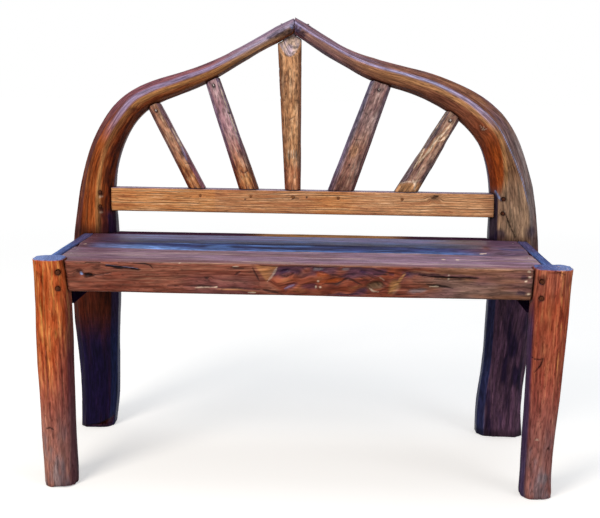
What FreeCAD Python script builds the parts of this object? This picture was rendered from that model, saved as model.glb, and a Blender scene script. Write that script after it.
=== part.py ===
import FreeCAD, Part
import math
import os

# A rustic hardwood bench: log legs in front, a seat of two thick
# slabs, and a pointed back made of two naturally bent trunks that meet in a mitre.
# Millimetres. +X is to the right for someone facing the bench, +Y is to the rear and +Z is up.
# The origin is on the floor, in the middle of the bench's width and depth.
Vector = FreeCAD.Vector
LEFT, RIGHT = -1, 1

# Overall sizes
half_width = 538.0          # middle plane to the outermost side of either rear post
half_depth = 233.0          # middle plane to the leg fronts, and to the backs of the posts
seat_height = 462.0
peak_centre_height = 936.0  # where the middle lines of the two crooks meet
peak_offset = 29.5          # the peak stands this far to the left of the middle

# Fits
joint_gap = 0.3             # glue line round a tenon, and where two pieces meet
peg_gap = 0.15              # glue line round a peg or nail
overrun = 20.0              # how far a cut runs on past the wood
joint_wall = 5.0            # wood left between two joints that come near each other
tenon_root = 16.0           # how far a tenon is drawn into its own piece

# Rear posts, each one bent trunk from the floor to the peak
post_width = 105.0
post_depth = 72.0
peak_thinning_share = 0.18  # how much shallower a crook is at the peak than at the seat
crook_turn_share = 0.62     # the trunk section starts to turn into the peak section here
left_widest_share = 1.01
right_widest_share = 1.08
# Each row: reach from the peak to the post's middle line, rise to the peak, width.
left_crook_shares = [
    (0.994, -0.030, 0.77), (0.990, 0.040, 0.77), (0.986, 0.112, 0.82), (0.995, 0.216, 0.90),
    (1.000, 0.320, left_widest_share), (1.000, 0.405, 1.00), (0.998, 0.486, 0.94),
    (0.992, 0.548, 0.84), (0.982, 0.613, 0.72), (0.963, 0.661, 0.67), (0.933, 0.709, 0.65),
    (0.890, 0.752, 0.62), (0.821, 0.7965, 0.58), (0.713, 0.833, 0.52), (0.578, 0.858, 0.475),
    (0.434, 0.885, 0.42), (0.314, 0.915, 0.35), (0.191, 0.950, 0.325), (0.000, 1.000, 0.32),
    (-0.100, 1.026, 0.32),
]
right_crook_shares = [
    (0.966, -0.030, 1.00), (0.962, 0.040, 0.99), (0.967, 0.114, 0.945), (0.985, 0.219, 0.955),
    (0.998, 0.338, 1.02), (1.000, 0.426, right_widest_share), (0.993, 0.506, 1.06),
    (0.988, 0.553, 1.01), (0.970, 0.632, 0.90), (0.944, 0.687, 0.84), (0.907, 0.7356, 0.80),
    (0.846, 0.780, 0.77), (0.746, 0.822, 0.69), (0.622, 0.8555, 0.60), (0.500, 0.877, 0.545),
    (0.398, 0.891, 0.515), (0.2965, 0.9105, 0.445), (0.212, 0.932, 0.38), (0.104, 0.966, 0.355),
    (0.000, 1.000, 0.35), (-0.090, 1.028, 0.35),
]
# A post's hewn section, from its middle: outwards and rearwards, in shares of width and depth.
trunk_section_shares = [
    (-0.10, -0.50), (0.32, -0.50), (0.50, -0.30), (0.50, 0.30), (0.33, 0.50),
    (-0.33, 0.50), (-0.50, 0.30), (-0.50, -0.16), (-0.36, -0.40),
]
peak_section_shares = [
    (-0.04, -0.50), (0.20, -0.43), (0.47, -0.10), (0.47, 0.28), (0.25, 0.50),
    (-0.25, 0.50), (-0.48, 0.26), (-0.50, -0.08), (-0.34, -0.38),
]
foot_forward = 12.0         # a foot stands this far in front of its post, bending below the rails

# Ridge dowel, which holds the mitre at the peak
dowel_radius = 5.0
dowel_length = 64.0
dowel_wall = 3.0

# Front legs
leg_width = 74.0
leg_depth = 68.0
leg_corner_radius = 23.0
leg_inset = 43.5            # outermost line of the bench to a leg's middle line at its top
leg_lean = 16.0             # how far a leg's foot stands nearer the middle than its top
leg_proud = 4.0             # leg tops stand this far above the seat
# Each row: rise to the leg's top, share of the lean, share of the width.
left_leg_shares = [
    (0.00, 1.05, 0.87), (0.15, 0.98, 0.91), (0.33, 0.80, 0.965), (0.63, 0.60, 0.98), (1.00, 0.06, 0.84),
]
right_leg_shares = [
    (0.00, 0.76, 0.87), (0.25, 0.76, 0.84), (0.45, 0.56, 0.94), (0.69, 0.32, 1.01), (1.00, -0.08, 1.02),
]

# Seat: two slabs whose waney edges leave a shallow valley along their joint
seat_thickness = 61.5
slab_front_setback = 19.0   # front slab behind the leg fronts
front_slab_depth = 199.0    # from its front face to the joint
valley_depth = 21.0
rear_dip = 8.0              # how far the rear slab has worn down beside the rear rail
# Each row: place from left to right end, arris from the front slab's face to the joint, valley
# depth, far side of the valley from the joint to the rear slab's rear edge.
valley_shares = [
    (-1.02, 0.90, 0.12, 0.16), (-0.82, 0.86, 0.45, 0.24), (-0.45, 0.81, 1.00, 0.34),
    (-0.08, 0.82, 1.00, 0.38), (0.20, 0.84, 0.92, 0.35), (0.50, 0.87, 0.88, 0.30),
    (0.80, 0.79, 0.60, 0.27), (1.02, 0.86, 0.12, 0.16),
]
# Each row: place from left to right end, depth of the rear dip. It fades out above the wood.
dip_shares = [(-0.45, -0.25), (-0.08, 0.30), (0.20, 1.00), (0.50, 0.30), (0.80, -0.25)]
dip_start_share = 0.40      # from the joint to the rear slab's rear edge
slab_tenon_thickness = 20.0
slab_tenon_height = 50.0
slab_tenon_drop = 12.0      # below the seat's top
slab_tenon_setback = 14.0   # behind the slab's front face

# Rails under the seat
side_rail_thickness = 22.0
side_rail_height = 100.0
side_tenon_thickness = 12.0
side_tenon_height = 44.0
side_tenon_length = 24.0
bearer_width = 30.0
bearer_height = 34.0
rear_rail_setback = 3.0     # behind the post fronts
rear_rail_thickness = 44.0
rear_rail_height = 70.0
rear_tenon_thickness = 16.0
rear_tenon_height = 40.0
tenon_past_middle = 6.0     # how far a rail's tenon runs past a post's middle line

# Back rail and the five spindles that fan out from it
back_gap = 51.0             # seat to the underside of the back rail
back_rail_height = 54.0
back_rail_thickness = 34.0
back_rail_setback = 12.0    # behind the post fronts
back_tenon_thickness = 14.0
back_tenon_height = 38.0
spindle_depth = 32.0
spindle_setback = 2.0       # behind the back rail's front face
spindle_chamfer = 7.0
spindle_tenon_thickness = 12.0
spindle_tenon_length = 28.0 # into the back rail
spindle_tenon_share = 0.55  # of the spindle's width where the tenon leaves it
spindle_tenon_tip = 4.0     # how far a head tenon stops short of the crook's middle line
outer_left_foot_width = 36.0
outer_left_head_width = 29.0
inner_left_foot_width = 44.0
inner_left_head_width = 33.0
centre_foot_width = 37.0
centre_head_width = 56.0
inner_right_foot_width = 58.0
inner_right_head_width = 48.0
outer_right_foot_width = 48.0
outer_right_head_width = 35.0
# Each spindle: side, foot and head from the peak to the post's middle line.
outer_left_place_shares = (LEFT, 0.480, 0.722)
inner_left_place_shares = (LEFT, 0.219, 0.419)
centre_place_shares = (LEFT, -0.002, 0.026)
inner_right_place_shares = (RIGHT, 0.217, 0.400)
outer_right_place_shares = (RIGHT, 0.509, 0.738)
head_facet_drop = 68.0      # peak's middle line down to the foot of the sawn head facet
head_facet_lean = 13.0      # how far the facet leans back
head_facet_rise = 50.0

# Pegs and nails
peg_radius = 4.0
leg_peg_spacing = 32.0
leg_peg_end_distance = 13.5 # from a tenon's tip
back_peg_spacing = 33.0
left_back_peg_end_distance = 17.0
right_back_peg_end_distance = 29.0
peg_run_on = 8.0            # how far a peg runs on past its tenon
side_peg_spacing = 22.0
side_peg_end_distance = 10.0
rear_peg_spacing = 22.0
rear_peg_end_distance = 8.0
foot_peg_radius = 3.0
foot_peg_drop = 16.0        # below the back rail's top
foot_peg_run_on = 4.0
nail_radius = 2.4
head_nail_drop = 14.0       # below a spindle's shoulder
head_nail_length = 46.0
head_nail_slant_share = 0.55  # how much it points rearwards for each step upwards
arch_nail_length = 30.0
arch_nail_reach_shares = (0.060, 0.394, 0.428)
arch_nail_sides = (RIGHT, LEFT, RIGHT)
seat_nail_length = 84.0
seat_nail_end_inset = 14.0  # from a slab's end
front_nail_shares = (0.48, 0.74)   # of the front slab's depth
rear_nail_shares = (0.49, 0.80)    # of the rear slab's depth
bearer_nail_length = 44.0
bearer_nail_count = 3

# Places worked out from the sizes above
peak_x = -peak_offset
post_front = half_depth - post_depth
leg_front = -half_depth
leg_back = leg_front + leg_depth
leg_middle = leg_front + leg_depth / 2
leg_top = seat_height + leg_proud
leg_x = half_width - leg_inset
slab_front = leg_front + slab_front_setback
seat_joint = slab_front + front_slab_depth
seat_underside = seat_height - seat_thickness
rear_rail_front = post_front + rear_rail_setback
slab_rear = rear_rail_front - joint_gap
side_rail_inner = leg_x - side_rail_thickness / 2
slab_end = side_rail_inner - joint_gap
back_rail_front = post_front + back_rail_setback
back_rail_bottom = seat_height + back_gap
back_rail_top = back_rail_bottom + back_rail_height
spindle_front = back_rail_front + spindle_setback
spindle_middle = spindle_front + spindle_depth / 2
crook_shares = {LEFT: left_crook_shares, RIGHT: right_crook_shares}
widest_shares = {LEFT: left_widest_share, RIGHT: right_widest_share}
leg_shares = {LEFT: left_leg_shares, RIGHT: right_leg_shares}


def block(low, high):
    """A straight-sided block between two corners."""
    size = high.sub(low)
    return Part.makeBox(size.x, size.y, size.z, low)


def grown_block(low, high, gap):
    """The same block, larger by a gap on every side."""
    margin = Vector(gap, gap, gap)
    return block(low.sub(margin), high.add(margin))


def mirrored_block(side, low, high):
    """A block given for the right-hand side, put on either side of the middle plane."""
    if side == RIGHT:
        return low, high
    return Vector(-high.x, low.y, low.z), Vector(-low.x, high.y, high.z)


def pin(start, direction, length, radius):
    return Part.makeCylinder(radius, length, start, direction)


def closed_wire(points):
    return Part.makePolygon(points + points[:1])


def largest(shape):
    """The main solid of a cut, without the offcuts."""
    return max(shape.Solids, key=lambda solid: solid.Volume)


def blend(first, second, share):
    return first + (second - first) * share


def post_reach(side):
    """Distance from the peak's plane to a post's middle line."""
    post_x = half_width - post_width * widest_shares[side] / 2
    return post_x - side * peak_x


def crook_point(side, reach_share, rise_share):
    return Vector(peak_x + side * post_reach(side) * reach_share, 0, peak_centre_height * rise_share)


def crook_at_height(side, height):
    """Middle line of a post at a height: its x."""
    rows = crook_shares[side]
    points = [crook_point(side, reach, rise) for reach, rise, _ in rows]
    for low, high in zip(points, points[1:]):
        if low.z <= height <= high.z:
            return blend(low.x, high.x, (height - low.z) / (high.z - low.z))
    return points[-1].x


def crook_at_reach(side, reach_share):
    """Middle line, outward direction and width of the arch at a reach from the peak."""
    rows = crook_shares[side]
    for outer, inner in zip(rows, rows[1:]):
        if inner[0] <= reach_share <= outer[0]:
            share = (reach_share - outer[0]) / (inner[0] - outer[0])
            start = crook_point(side, outer[0], outer[1])
            end = crook_point(side, inner[0], inner[1])
            run = end.sub(start).normalize()
            outward = Vector(side * run.z, 0, -side * run.x)
            middle = start.add(end.sub(start).multiply(share))
            return middle, outward, post_width * blend(outer[2], inner[2], share)


def post_section(side, rows, index, gap):
    """One hewn section across a crook, square to its middle line."""
    points = [crook_point(side, reach, rise) for reach, rise, _ in rows]
    before = points[max(index - 1, 0)]
    after = points[min(index + 1, len(points) - 1)]
    run = after.sub(before).normalize()
    outward = Vector(side * run.z, 0, -side * run.x)
    turn = (rows[index][1] - crook_turn_share) / (1 - crook_turn_share)
    turn = min(max(turn, 0), 1)
    width = post_width * rows[index][2] + 2 * gap
    depth = post_depth * (1 - peak_thinning_share * turn) + 2 * gap
    bend = foot_forward * max(1 - points[index].z / (seat_height - side_rail_height), 0)
    middle = points[index].add(Vector(0, post_front - bend - gap + depth / 2, 0))
    corners = []
    for trunk, peak in zip(trunk_section_shares, peak_section_shares):
        sideways = outward * (width * blend(trunk[0], peak[0], turn))
        rearward = Vector(0, depth * blend(trunk[1], peak[1], turn), 0)
        corners.append(middle.add(sideways).add(rearward))
    return closed_wire(corners)


def post_body(side, gap):
    """A crook from the floor to the mitre, larger all round by a gap."""
    rows = crook_shares[side]
    body = Part.makeLoft([post_section(side, rows, i, gap) for i in range(len(rows))], True, False)
    floor_low = Vector(-half_width - overrun, -half_depth - overrun, -half_depth)
    floor_high = Vector(half_width + overrun, half_depth + overrun, 0)
    if gap == 0:
        body = body.cut(block(floor_low, floor_high))
    mitre = peak_x + side * (joint_gap / 2 - gap)
    far = peak_x - side * half_width
    past_mitre = block(
        Vector(min(mitre, far), -half_depth - overrun, 0),
        Vector(max(mitre, far), half_depth + overrun, 2 * peak_centre_height),
    )
    return largest(body.cut(past_mitre))


def rounded_section(middle_x, height, width, depth, radius):
    """A square with round corners, level at a height."""
    x_low, x_high = middle_x - width / 2, middle_x + width / 2
    y_low, y_high = leg_middle - depth / 2, leg_middle + depth / 2
    corners = [(x_high, y_low, -90), (x_high, y_high, 0), (x_low, y_high, 90), (x_low, y_low, 180)]
    arcs = []
    for x, y, start_angle in corners:
        centre_x = x - math.copysign(radius, x - middle_x)
        centre_y = y - math.copysign(radius, y - leg_middle)
        points = []
        for turn in (0, 45, 90):
            angle = math.radians(start_angle + turn)
            rim = Vector(radius * math.cos(angle), radius * math.sin(angle), 0)
            points.append(Vector(centre_x, centre_y, height).add(rim))
        arcs.append(points)
    edges = []
    for points, following in zip(arcs, arcs[1:] + arcs[:1]):
        edges.append(Part.Arc(*points).toShape())
        edges.append(Part.LineSegment(points[2], following[0]).toShape())
    return Part.Wire(edges)


def leg_body(side, gap):
    sections = []
    for rise, lean, width in leg_shares[side]:
        middle_x = side * (leg_x - leg_lean * lean)
        wide = leg_width * width + 2 * gap
        deep = leg_depth + 2 * gap
        sections.append(rounded_section(middle_x, leg_top * rise, wide, deep, leg_corner_radius + gap))
    return Part.makeLoft(sections, True, False)


def valley_section(row):
    """What is hollowed out of both slabs along their joint, at one place along the seat."""
    place, arris, depth, far_side = row
    x = slab_end * place
    near_y = blend(slab_front, seat_joint, arris)
    far_y = blend(seat_joint, slab_rear, far_side)
    return closed_wire([
        Vector(x, near_y, seat_height),
        Vector(x, seat_joint, seat_height - valley_depth * depth),
        Vector(x, far_y, seat_height),
        Vector(x, far_y, seat_height + overrun),
        Vector(x, near_y, seat_height + overrun),
    ])


def dip_section(row):
    """What is worn off the rear slab's rear edge, at one place along the seat."""
    place, depth = row
    x = slab_end * place
    start_y = blend(seat_joint, slab_rear, dip_start_share)
    return closed_wire([
        Vector(x, start_y, seat_height),
        Vector(x, slab_rear, seat_height - rear_dip * depth),
        Vector(x, slab_rear + overrun, seat_height - rear_dip * depth),
        Vector(x, slab_rear + overrun, seat_height + overrun),
        Vector(x, start_y, seat_height + overrun),
    ])


def spindle_axis(place):
    """Foot and head of a spindle's middle line, and the way it points."""
    side, foot_share, head_share = place
    foot = Vector(crook_point(side, foot_share, 0).x, spindle_middle, back_rail_top)
    middle, _, _ = crook_at_reach(side, head_share)
    head = Vector(middle.x, spindle_middle, middle.z)
    return foot, head, head.sub(foot).normalize()


def spindle_section(middle, along, width):
    """A flat bar's section with hewn corners, square to the spindle."""
    across = Vector(along.z, 0, -along.x)
    half, deep, corner = width / 2, spindle_depth / 2, spindle_chamfer
    outline = [
        (corner - half, -deep), (half - corner, -deep), (half, corner - deep), (half, deep - corner),
        (half - corner, deep), (corner - half, deep), (-half, deep - corner), (-half, corner - deep),
    ]
    return closed_wire([middle.add(across * sideways).add(Vector(0, back, 0)) for sideways, back in outline])


def slanted_bar(start, end, width, thickness):
    """A square-edged bar whose middle line runs from start to end."""
    along = end.sub(start).normalize()
    across = Vector(along.z, 0, -along.x) * (width / 2)
    rearward = Vector(0, thickness / 2, 0)
    corners = [
        start.sub(across).sub(rearward), start.add(across).sub(rearward),
        start.add(across).add(rearward), start.sub(across).add(rearward),
    ]
    return Part.Face(closed_wire(corners)).extrude(end.sub(start))


pieces = {}
pieces["rear_post_left"] = post_body(LEFT, 0)
pieces["rear_post_right"] = post_body(RIGHT, 0)
pieces["front_leg_left"] = leg_body(LEFT, 0)
pieces["front_leg_right"] = leg_body(RIGHT, 0)
post_names = {LEFT: "rear_post_left", RIGHT: "rear_post_right"}
leg_names = {LEFT: "front_leg_left", RIGHT: "front_leg_right"}
side_rail_names = {LEFT: "side_rail_left", RIGHT: "side_rail_right"}
bearer_names = {LEFT: "seat_bearer_left", RIGHT: "seat_bearer_right"}
post_room = {side: post_body(side, joint_gap) for side in (LEFT, RIGHT)}
leg_room = {side: leg_body(side, joint_gap) for side in (LEFT, RIGHT)}


def hollow(name, tool):
    pieces[name] = largest(pieces[name].cut(tool))


def join_tenon(name, low, high, host):
    """Grow a tenon on a piece and sink its mortise in the piece that takes it."""
    pieces[name] = largest(pieces[name].fuse(block(low, high)).removeSplitter())
    hollow(host, grown_block(low, high, joint_gap))


def make_seat():
    valley = Part.makeLoft([valley_section(row) for row in valley_shares], True, True)
    dip = Part.makeLoft([dip_section(row) for row in dip_shares], True, True)
    joint_front, joint_rear = seat_joint - joint_gap / 2, seat_joint + joint_gap / 2
    front = block(Vector(-slab_end, slab_front, seat_underside), Vector(slab_end, joint_front, seat_height))
    rear = block(Vector(-slab_end, joint_rear, seat_underside), Vector(slab_end, slab_rear, seat_height))
    front = front.cut(valley)
    rear = rear.cut(valley).cut(dip)
    for side in (LEFT, RIGHT):
        front = front.cut(leg_room[side])
        rear = rear.cut(post_room[side])
    pieces["seat_slab_front"] = largest(front)
    pieces["seat_slab_rear"] = largest(rear)
    tenon_tip = leg_x - side_tenon_thickness / 2 - joint_wall
    tenon_top = seat_height - slab_tenon_drop
    tenon_front = slab_front + slab_tenon_setback
    for side in (LEFT, RIGHT):
        low, high = mirrored_block(
            side,
            Vector(leg_x - leg_width / 2 - tenon_root, tenon_front, tenon_top - slab_tenon_height),
            Vector(tenon_tip, tenon_front + slab_tenon_thickness, tenon_top),
        )
        join_tenon("seat_slab_front", low, high, leg_names[side])


def make_side_rails():
    tenon_middle = seat_height - side_rail_height / 2
    for side, name in side_rail_names.items():
        low, high = mirrored_block(
            side,
            Vector(side_rail_inner, leg_back + joint_gap, seat_height - side_rail_height),
            Vector(side_rail_inner + side_rail_thickness, post_front - joint_gap, seat_height),
        )
        pieces[name] = largest(block(low, high).cut(post_room[side]))
        for host, root, tip in (
            (leg_names[side], leg_back + tenon_root, leg_back - side_tenon_length),
            (post_names[side], post_front - tenon_root, post_front + side_tenon_length),
        ):
            size = Vector(side_tenon_thickness, abs(tip - root), side_tenon_height)
            corner = Vector(leg_x - size.x / 2, min(root, tip), tenon_middle - size.z / 2)
            low, high = mirrored_block(side, corner, corner.add(size))
            join_tenon(name, low, high, host)


def make_bearers():
    for side, name in bearer_names.items():
        top = seat_underside - joint_gap
        low, high = mirrored_block(
            side,
            Vector(slab_end - bearer_width, leg_back + joint_gap, top - bearer_height),
            Vector(slab_end, post_front - joint_gap, top),
        )
        pieces[name] = largest(block(low, high).cut(leg_room[side]).cut(post_room[side]))


def make_cross_rail(name, front, thickness, bottom, height, tenon_thickness, tenon_height, tips):
    """A rail between the posts, scribed to them, with a tenon into each."""
    middle_height = bottom + height / 2
    low, high = Vector(tips[LEFT], front, bottom), Vector(tips[RIGHT], front + thickness, bottom + height)
    rail = block(low, high)
    pieces[name] = largest(rail.cut(post_room[LEFT]).cut(post_room[RIGHT]))
    tenon_y = front + thickness / 2 - tenon_thickness / 2
    tenon_z = middle_height - tenon_height / 2
    for side in (LEFT, RIGHT):
        root = crook_at_height(side, middle_height) - side * (post_width / 2 + tenon_root)
        tip = tips[side]
        low = Vector(min(root, tip), tenon_y, tenon_z)
        high = Vector(max(root, tip), tenon_y + tenon_thickness, tenon_z + tenon_height)
        join_tenon(name, low, high, post_names[side])


def make_spindle(name, place, foot_width, head_width):
    """One spindle: tenoned into the back rail and coped and tenoned into the crook above."""
    foot, head, along = spindle_axis(place)
    hosts = [post_names[place[0]]]
    if abs(head.x - peak_x) < head_width:
        hosts = [post_names[LEFT], post_names[RIGHT]]
    below = foot.sub(along * spindle_tenon_length)
    length = head.sub(foot).Length
    width_change = (head_width - foot_width) / length
    low_width = foot_width - width_change * spindle_tenon_length
    body = Part.makeLoft(
        [spindle_section(below, along, low_width), spindle_section(head, along, head_width)], True, True)
    rail_room = block(
        Vector(-half_width, back_rail_front - overrun, back_rail_bottom - overrun),
        Vector(half_width, back_rail_front + back_rail_thickness + overrun, back_rail_top + joint_gap),
    )
    body = largest(body.cut(rail_room).cut(post_room[LEFT]).cut(post_room[RIGHT]))
    foot_tenon_width = foot_width * spindle_tenon_share
    head_tenon_width = head_width * spindle_tenon_share
    foot_end = foot.sub(along * spindle_tenon_length)
    head_end = head.sub(along * spindle_tenon_tip)
    foot_root = foot.add(along * tenon_root)
    head_root = head.sub(along * (post_width / 2 + tenon_root))
    foot_tenon = slanted_bar(foot_end, foot_root, foot_tenon_width, spindle_tenon_thickness)
    head_tenon = slanted_bar(head_root, head_end, head_tenon_width, spindle_tenon_thickness)
    pieces[name] = largest(body.fuse(foot_tenon).fuse(head_tenon).removeSplitter())
    room = 2 * joint_gap
    foot_mortise = slanted_bar(
        foot_end.sub(along * joint_gap), foot_root, foot_tenon_width + room, spindle_tenon_thickness + room)
    head_mortise = slanted_bar(
        head_root, head_end.add(along * joint_gap), head_tenon_width + room, spindle_tenon_thickness + room)
    hollow("back_rail", foot_mortise)
    for host in hosts:
        hollow(host, head_mortise)


def saw_head_facet():
    """The centre spindle's head is sawn back so that it tucks in under the peak."""
    base = Vector(peak_x - centre_head_width, spindle_front, peak_centre_height - head_facet_drop)
    corners = [
        base.add(Vector(0, -overrun, 0)),
        base,
        base.add(Vector(0, head_facet_lean, head_facet_rise)),
        base.add(Vector(0, -overrun, head_facet_rise)),
    ]
    wedge = Part.Face(closed_wire(corners)).extrude(Vector(2 * centre_head_width, 0, 0))
    hollow("spindle_centre", wedge)


def drive(names, start, direction, length, radius):
    """Bore a pinned joint and return its peg or nail."""
    along = Vector(direction).normalize()
    bore = pin(start.sub(along * overrun), along, overrun + length + joint_gap, radius + peg_gap)
    for name in names:
        hollow(name, bore)
    return pin(start, along, length, radius)


def make_ridge_dowel():
    y = spindle_middle + spindle_tenon_thickness / 2 + dowel_wall + dowel_radius
    start = Vector(peak_x - dowel_length / 2, y, peak_centre_height)
    along = Vector(1, 0, 0)
    room_start = start.sub(along * joint_gap)
    room = pin(room_start, along, dowel_length + 2 * joint_gap, dowel_radius + peg_gap)
    for name in post_names.values():
        hollow(name, room)
    pieces["ridge_dowel"] = pin(start, along, dowel_length, dowel_radius)


def make_leg_pegs():
    pegs = []
    peg_x = leg_x - side_tenon_thickness / 2 - joint_wall - leg_peg_end_distance
    middle_height = seat_height - slab_tenon_drop - slab_tenon_height / 2
    length = slab_front_setback + slab_tenon_setback + slab_tenon_thickness + peg_run_on
    for side, leg in leg_names.items():
        for level in (-1, 1):
            start = Vector(side * peg_x, leg_front, middle_height + level * leg_peg_spacing / 2)
            pegs.append(drive([leg, "seat_slab_front"], start, Vector(0, 1, 0), length, peg_radius))
    pieces["front_leg_pegs"] = Part.makeCompound(pegs)


def make_back_rail_pegs():
    pegs = []
    middle_height = back_rail_bottom + back_rail_height / 2
    length = back_rail_setback + back_rail_thickness / 2 + back_tenon_thickness / 2 + peg_run_on
    end_distances = {LEFT: left_back_peg_end_distance, RIGHT: right_back_peg_end_distance}
    for side, post in post_names.items():
        for level in (-1, 1):
            x = back_rail_tips[side] - side * end_distances[side]
            start = Vector(x, post_front, middle_height + level * back_peg_spacing / 2)
            pegs.append(drive([post, "back_rail"], start, Vector(0, 1, 0), length, foot_peg_radius))
    pieces["back_rail_pegs"] = Part.makeCompound(pegs)


def make_rear_rail_pegs():
    """Driven in from behind, where the posts are open to the mallet."""
    pegs = []
    middle_height = seat_height - rear_rail_height / 2
    tenon_front = rear_rail_front + rear_rail_thickness / 2 - rear_tenon_thickness / 2
    length = half_depth - tenon_front + peg_run_on
    for side, post in post_names.items():
        for level in (-1, 1):
            x = rear_rail_tips[side] - side * rear_peg_end_distance
            start = Vector(x, half_depth, middle_height + level * rear_peg_spacing / 2)
            pegs.append(drive([post, "rear_seat_rail"], start, Vector(0, -1, 0), length, peg_radius))
    pieces["rear_rail_pegs"] = Part.makeCompound(pegs)


def make_side_rail_pegs():
    """Driven in from the outer side of each leg, across the side rail's tenon."""
    pegs = []
    middle_height = seat_height - side_rail_height / 2
    outer = leg_x + leg_width / 2
    length = leg_width / 2 + side_tenon_thickness / 2 + joint_wall / 2
    for side, leg in leg_names.items():
        for level in (-1, 1):
            height = middle_height + level * side_peg_spacing / 2
            start = Vector(side * outer, leg_back - side_peg_end_distance, height)
            names = [leg, side_rail_names[side]]
            whole = drive(names, start, Vector(-side, 0, 0), length, foot_peg_radius)
            pegs.append(largest(whole.common(leg_body(side, 0))))
    pieces["side_rail_pegs"] = Part.makeCompound(pegs)


def make_spindle_pegs(spindles):
    foot_pegs = []
    head_nails = []
    foot_length = spindle_setback + spindle_depth / 2 + spindle_tenon_thickness / 2 + foot_peg_run_on
    for name, place in spindles:
        foot, head, along = spindle_axis(place)
        centre = foot.sub(along * (foot_peg_drop / along.z))
        start = Vector(centre.x, back_rail_front, centre.z)
        foot_pegs.append(drive([name, "back_rail"], start, Vector(0, 1, 0), foot_length, foot_peg_radius))
        if name == "spindle_centre":
            continue
        _, _, width = crook_at_reach(place[0], place[2])
        low = head.sub(along * (width / 2 + head_nail_drop))
        start = Vector(low.x, spindle_front, low.z)
        way = along.add(Vector(0, head_nail_slant_share, 0))
        head_nails.append(drive([name, post_names[place[0]]], start, way, head_nail_length, nail_radius))
    pieces["spindle_foot_pegs"] = Part.makeCompound(foot_pegs)
    pieces["spindle_head_nails"] = Part.makeCompound(head_nails)


def make_arch_nails():
    """Short nails down through the arch, over the inner spindles and beside the mitre."""
    nails = []
    for side, reach in zip(arch_nail_sides, arch_nail_reach_shares):
        middle, outward, width = crook_at_reach(side, reach)
        y = spindle_middle + spindle_tenon_thickness / 2 + dowel_wall
        start = Vector(middle.x, y, middle.z).add(outward * (width / 2 - joint_wall / 2))
        nails.append(drive([post_names[side]], start, outward * -1, arch_nail_length, nail_radius))
    pieces["arch_nails"] = Part.makeCompound(nails)


def make_seat_nails():
    """Down through both slabs into the bearers."""
    nails = []
    x = slab_end - seat_nail_end_inset
    front_places = [blend(slab_front, seat_joint, share) for share in front_nail_shares]
    rear_places = [blend(seat_joint, rear_rail_front, share) for share in rear_nail_shares]
    for side, bearer in bearer_names.items():
        for slab, places in (("seat_slab_front", front_places), ("seat_slab_rear", rear_places)):
            for y in places:
                start = Vector(side * x, y, seat_height)
                nails.append(drive([slab, bearer], start, Vector(0, 0, -1), seat_nail_length, nail_radius))
    pieces["seat_nails"] = Part.makeCompound(nails)


def make_bearer_nails():
    """From the inner side of each bearer into the side rail."""
    nails = []
    run = post_front - leg_back
    height = seat_underside - joint_gap - bearer_height / 2
    for side, bearer in bearer_names.items():
        for index in range(bearer_nail_count):
            y = leg_back + run * (2 * index + 1) / (2 * bearer_nail_count)
            start = Vector(side * (slab_end - bearer_width), y, height)
            names = [bearer, side_rail_names[side]]
            nails.append(drive(names, start, Vector(side, 0, 0), bearer_nail_length, nail_radius))
    pieces["bearer_nails"] = Part.makeCompound(nails)


make_seat()
make_side_rails()
make_bearers()
rear_rail_tips = {side: side * (leg_x - side_tenon_thickness / 2 - joint_wall) for side in (LEFT, RIGHT)}
make_cross_rail(
    "rear_seat_rail", rear_rail_front, rear_rail_thickness, seat_height - rear_rail_height,
    rear_rail_height, rear_tenon_thickness, rear_tenon_height, rear_rail_tips)
back_rail_level = back_rail_bottom + back_rail_height / 2
back_rail_tips = {
    side: crook_at_height(side, back_rail_level) + side * tenon_past_middle for side in (LEFT, RIGHT)}
make_cross_rail(
    "back_rail", back_rail_front, back_rail_thickness, back_rail_bottom,
    back_rail_height, back_tenon_thickness, back_tenon_height, back_rail_tips)
make_spindle("spindle_outer_left", outer_left_place_shares, outer_left_foot_width, outer_left_head_width)
make_spindle("spindle_inner_left", inner_left_place_shares, inner_left_foot_width, inner_left_head_width)
make_spindle("spindle_centre", centre_place_shares, centre_foot_width, centre_head_width)
make_spindle("spindle_inner_right", inner_right_place_shares, inner_right_foot_width, inner_right_head_width)
make_spindle("spindle_outer_right", outer_right_place_shares, outer_right_foot_width, outer_right_head_width)
saw_head_facet()
make_ridge_dowel()
make_leg_pegs()
make_back_rail_pegs()
make_rear_rail_pegs()
make_side_rail_pegs()
make_spindle_pegs([
    ("spindle_outer_left", outer_left_place_shares), ("spindle_inner_left", inner_left_place_shares),
    ("spindle_centre", centre_place_shares), ("spindle_inner_right", inner_right_place_shares),
    ("spindle_outer_right", outer_right_place_shares),
])
make_arch_nails()
make_seat_nails()
make_bearer_nails()

os.makedirs("parts", exist_ok=True)
for node, shape in pieces.items():
    shape.exportStep(f"parts/{node}.step")
    box = shape.BoundBox
    print(node, len(shape.Solids), round(shape.Volume), shape.isValid(),
          [round(value, 1) for value in (box.XMin, box.XMax, box.YMin, box.YMax, box.ZMin, box.ZMax)])
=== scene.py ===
import math
from functools import partial
from itertools import product

import bmesh
import bpy
import numpy as np
from mathutils import Matrix, Vector
from mathutils.bvhtree import BVHTree


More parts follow.
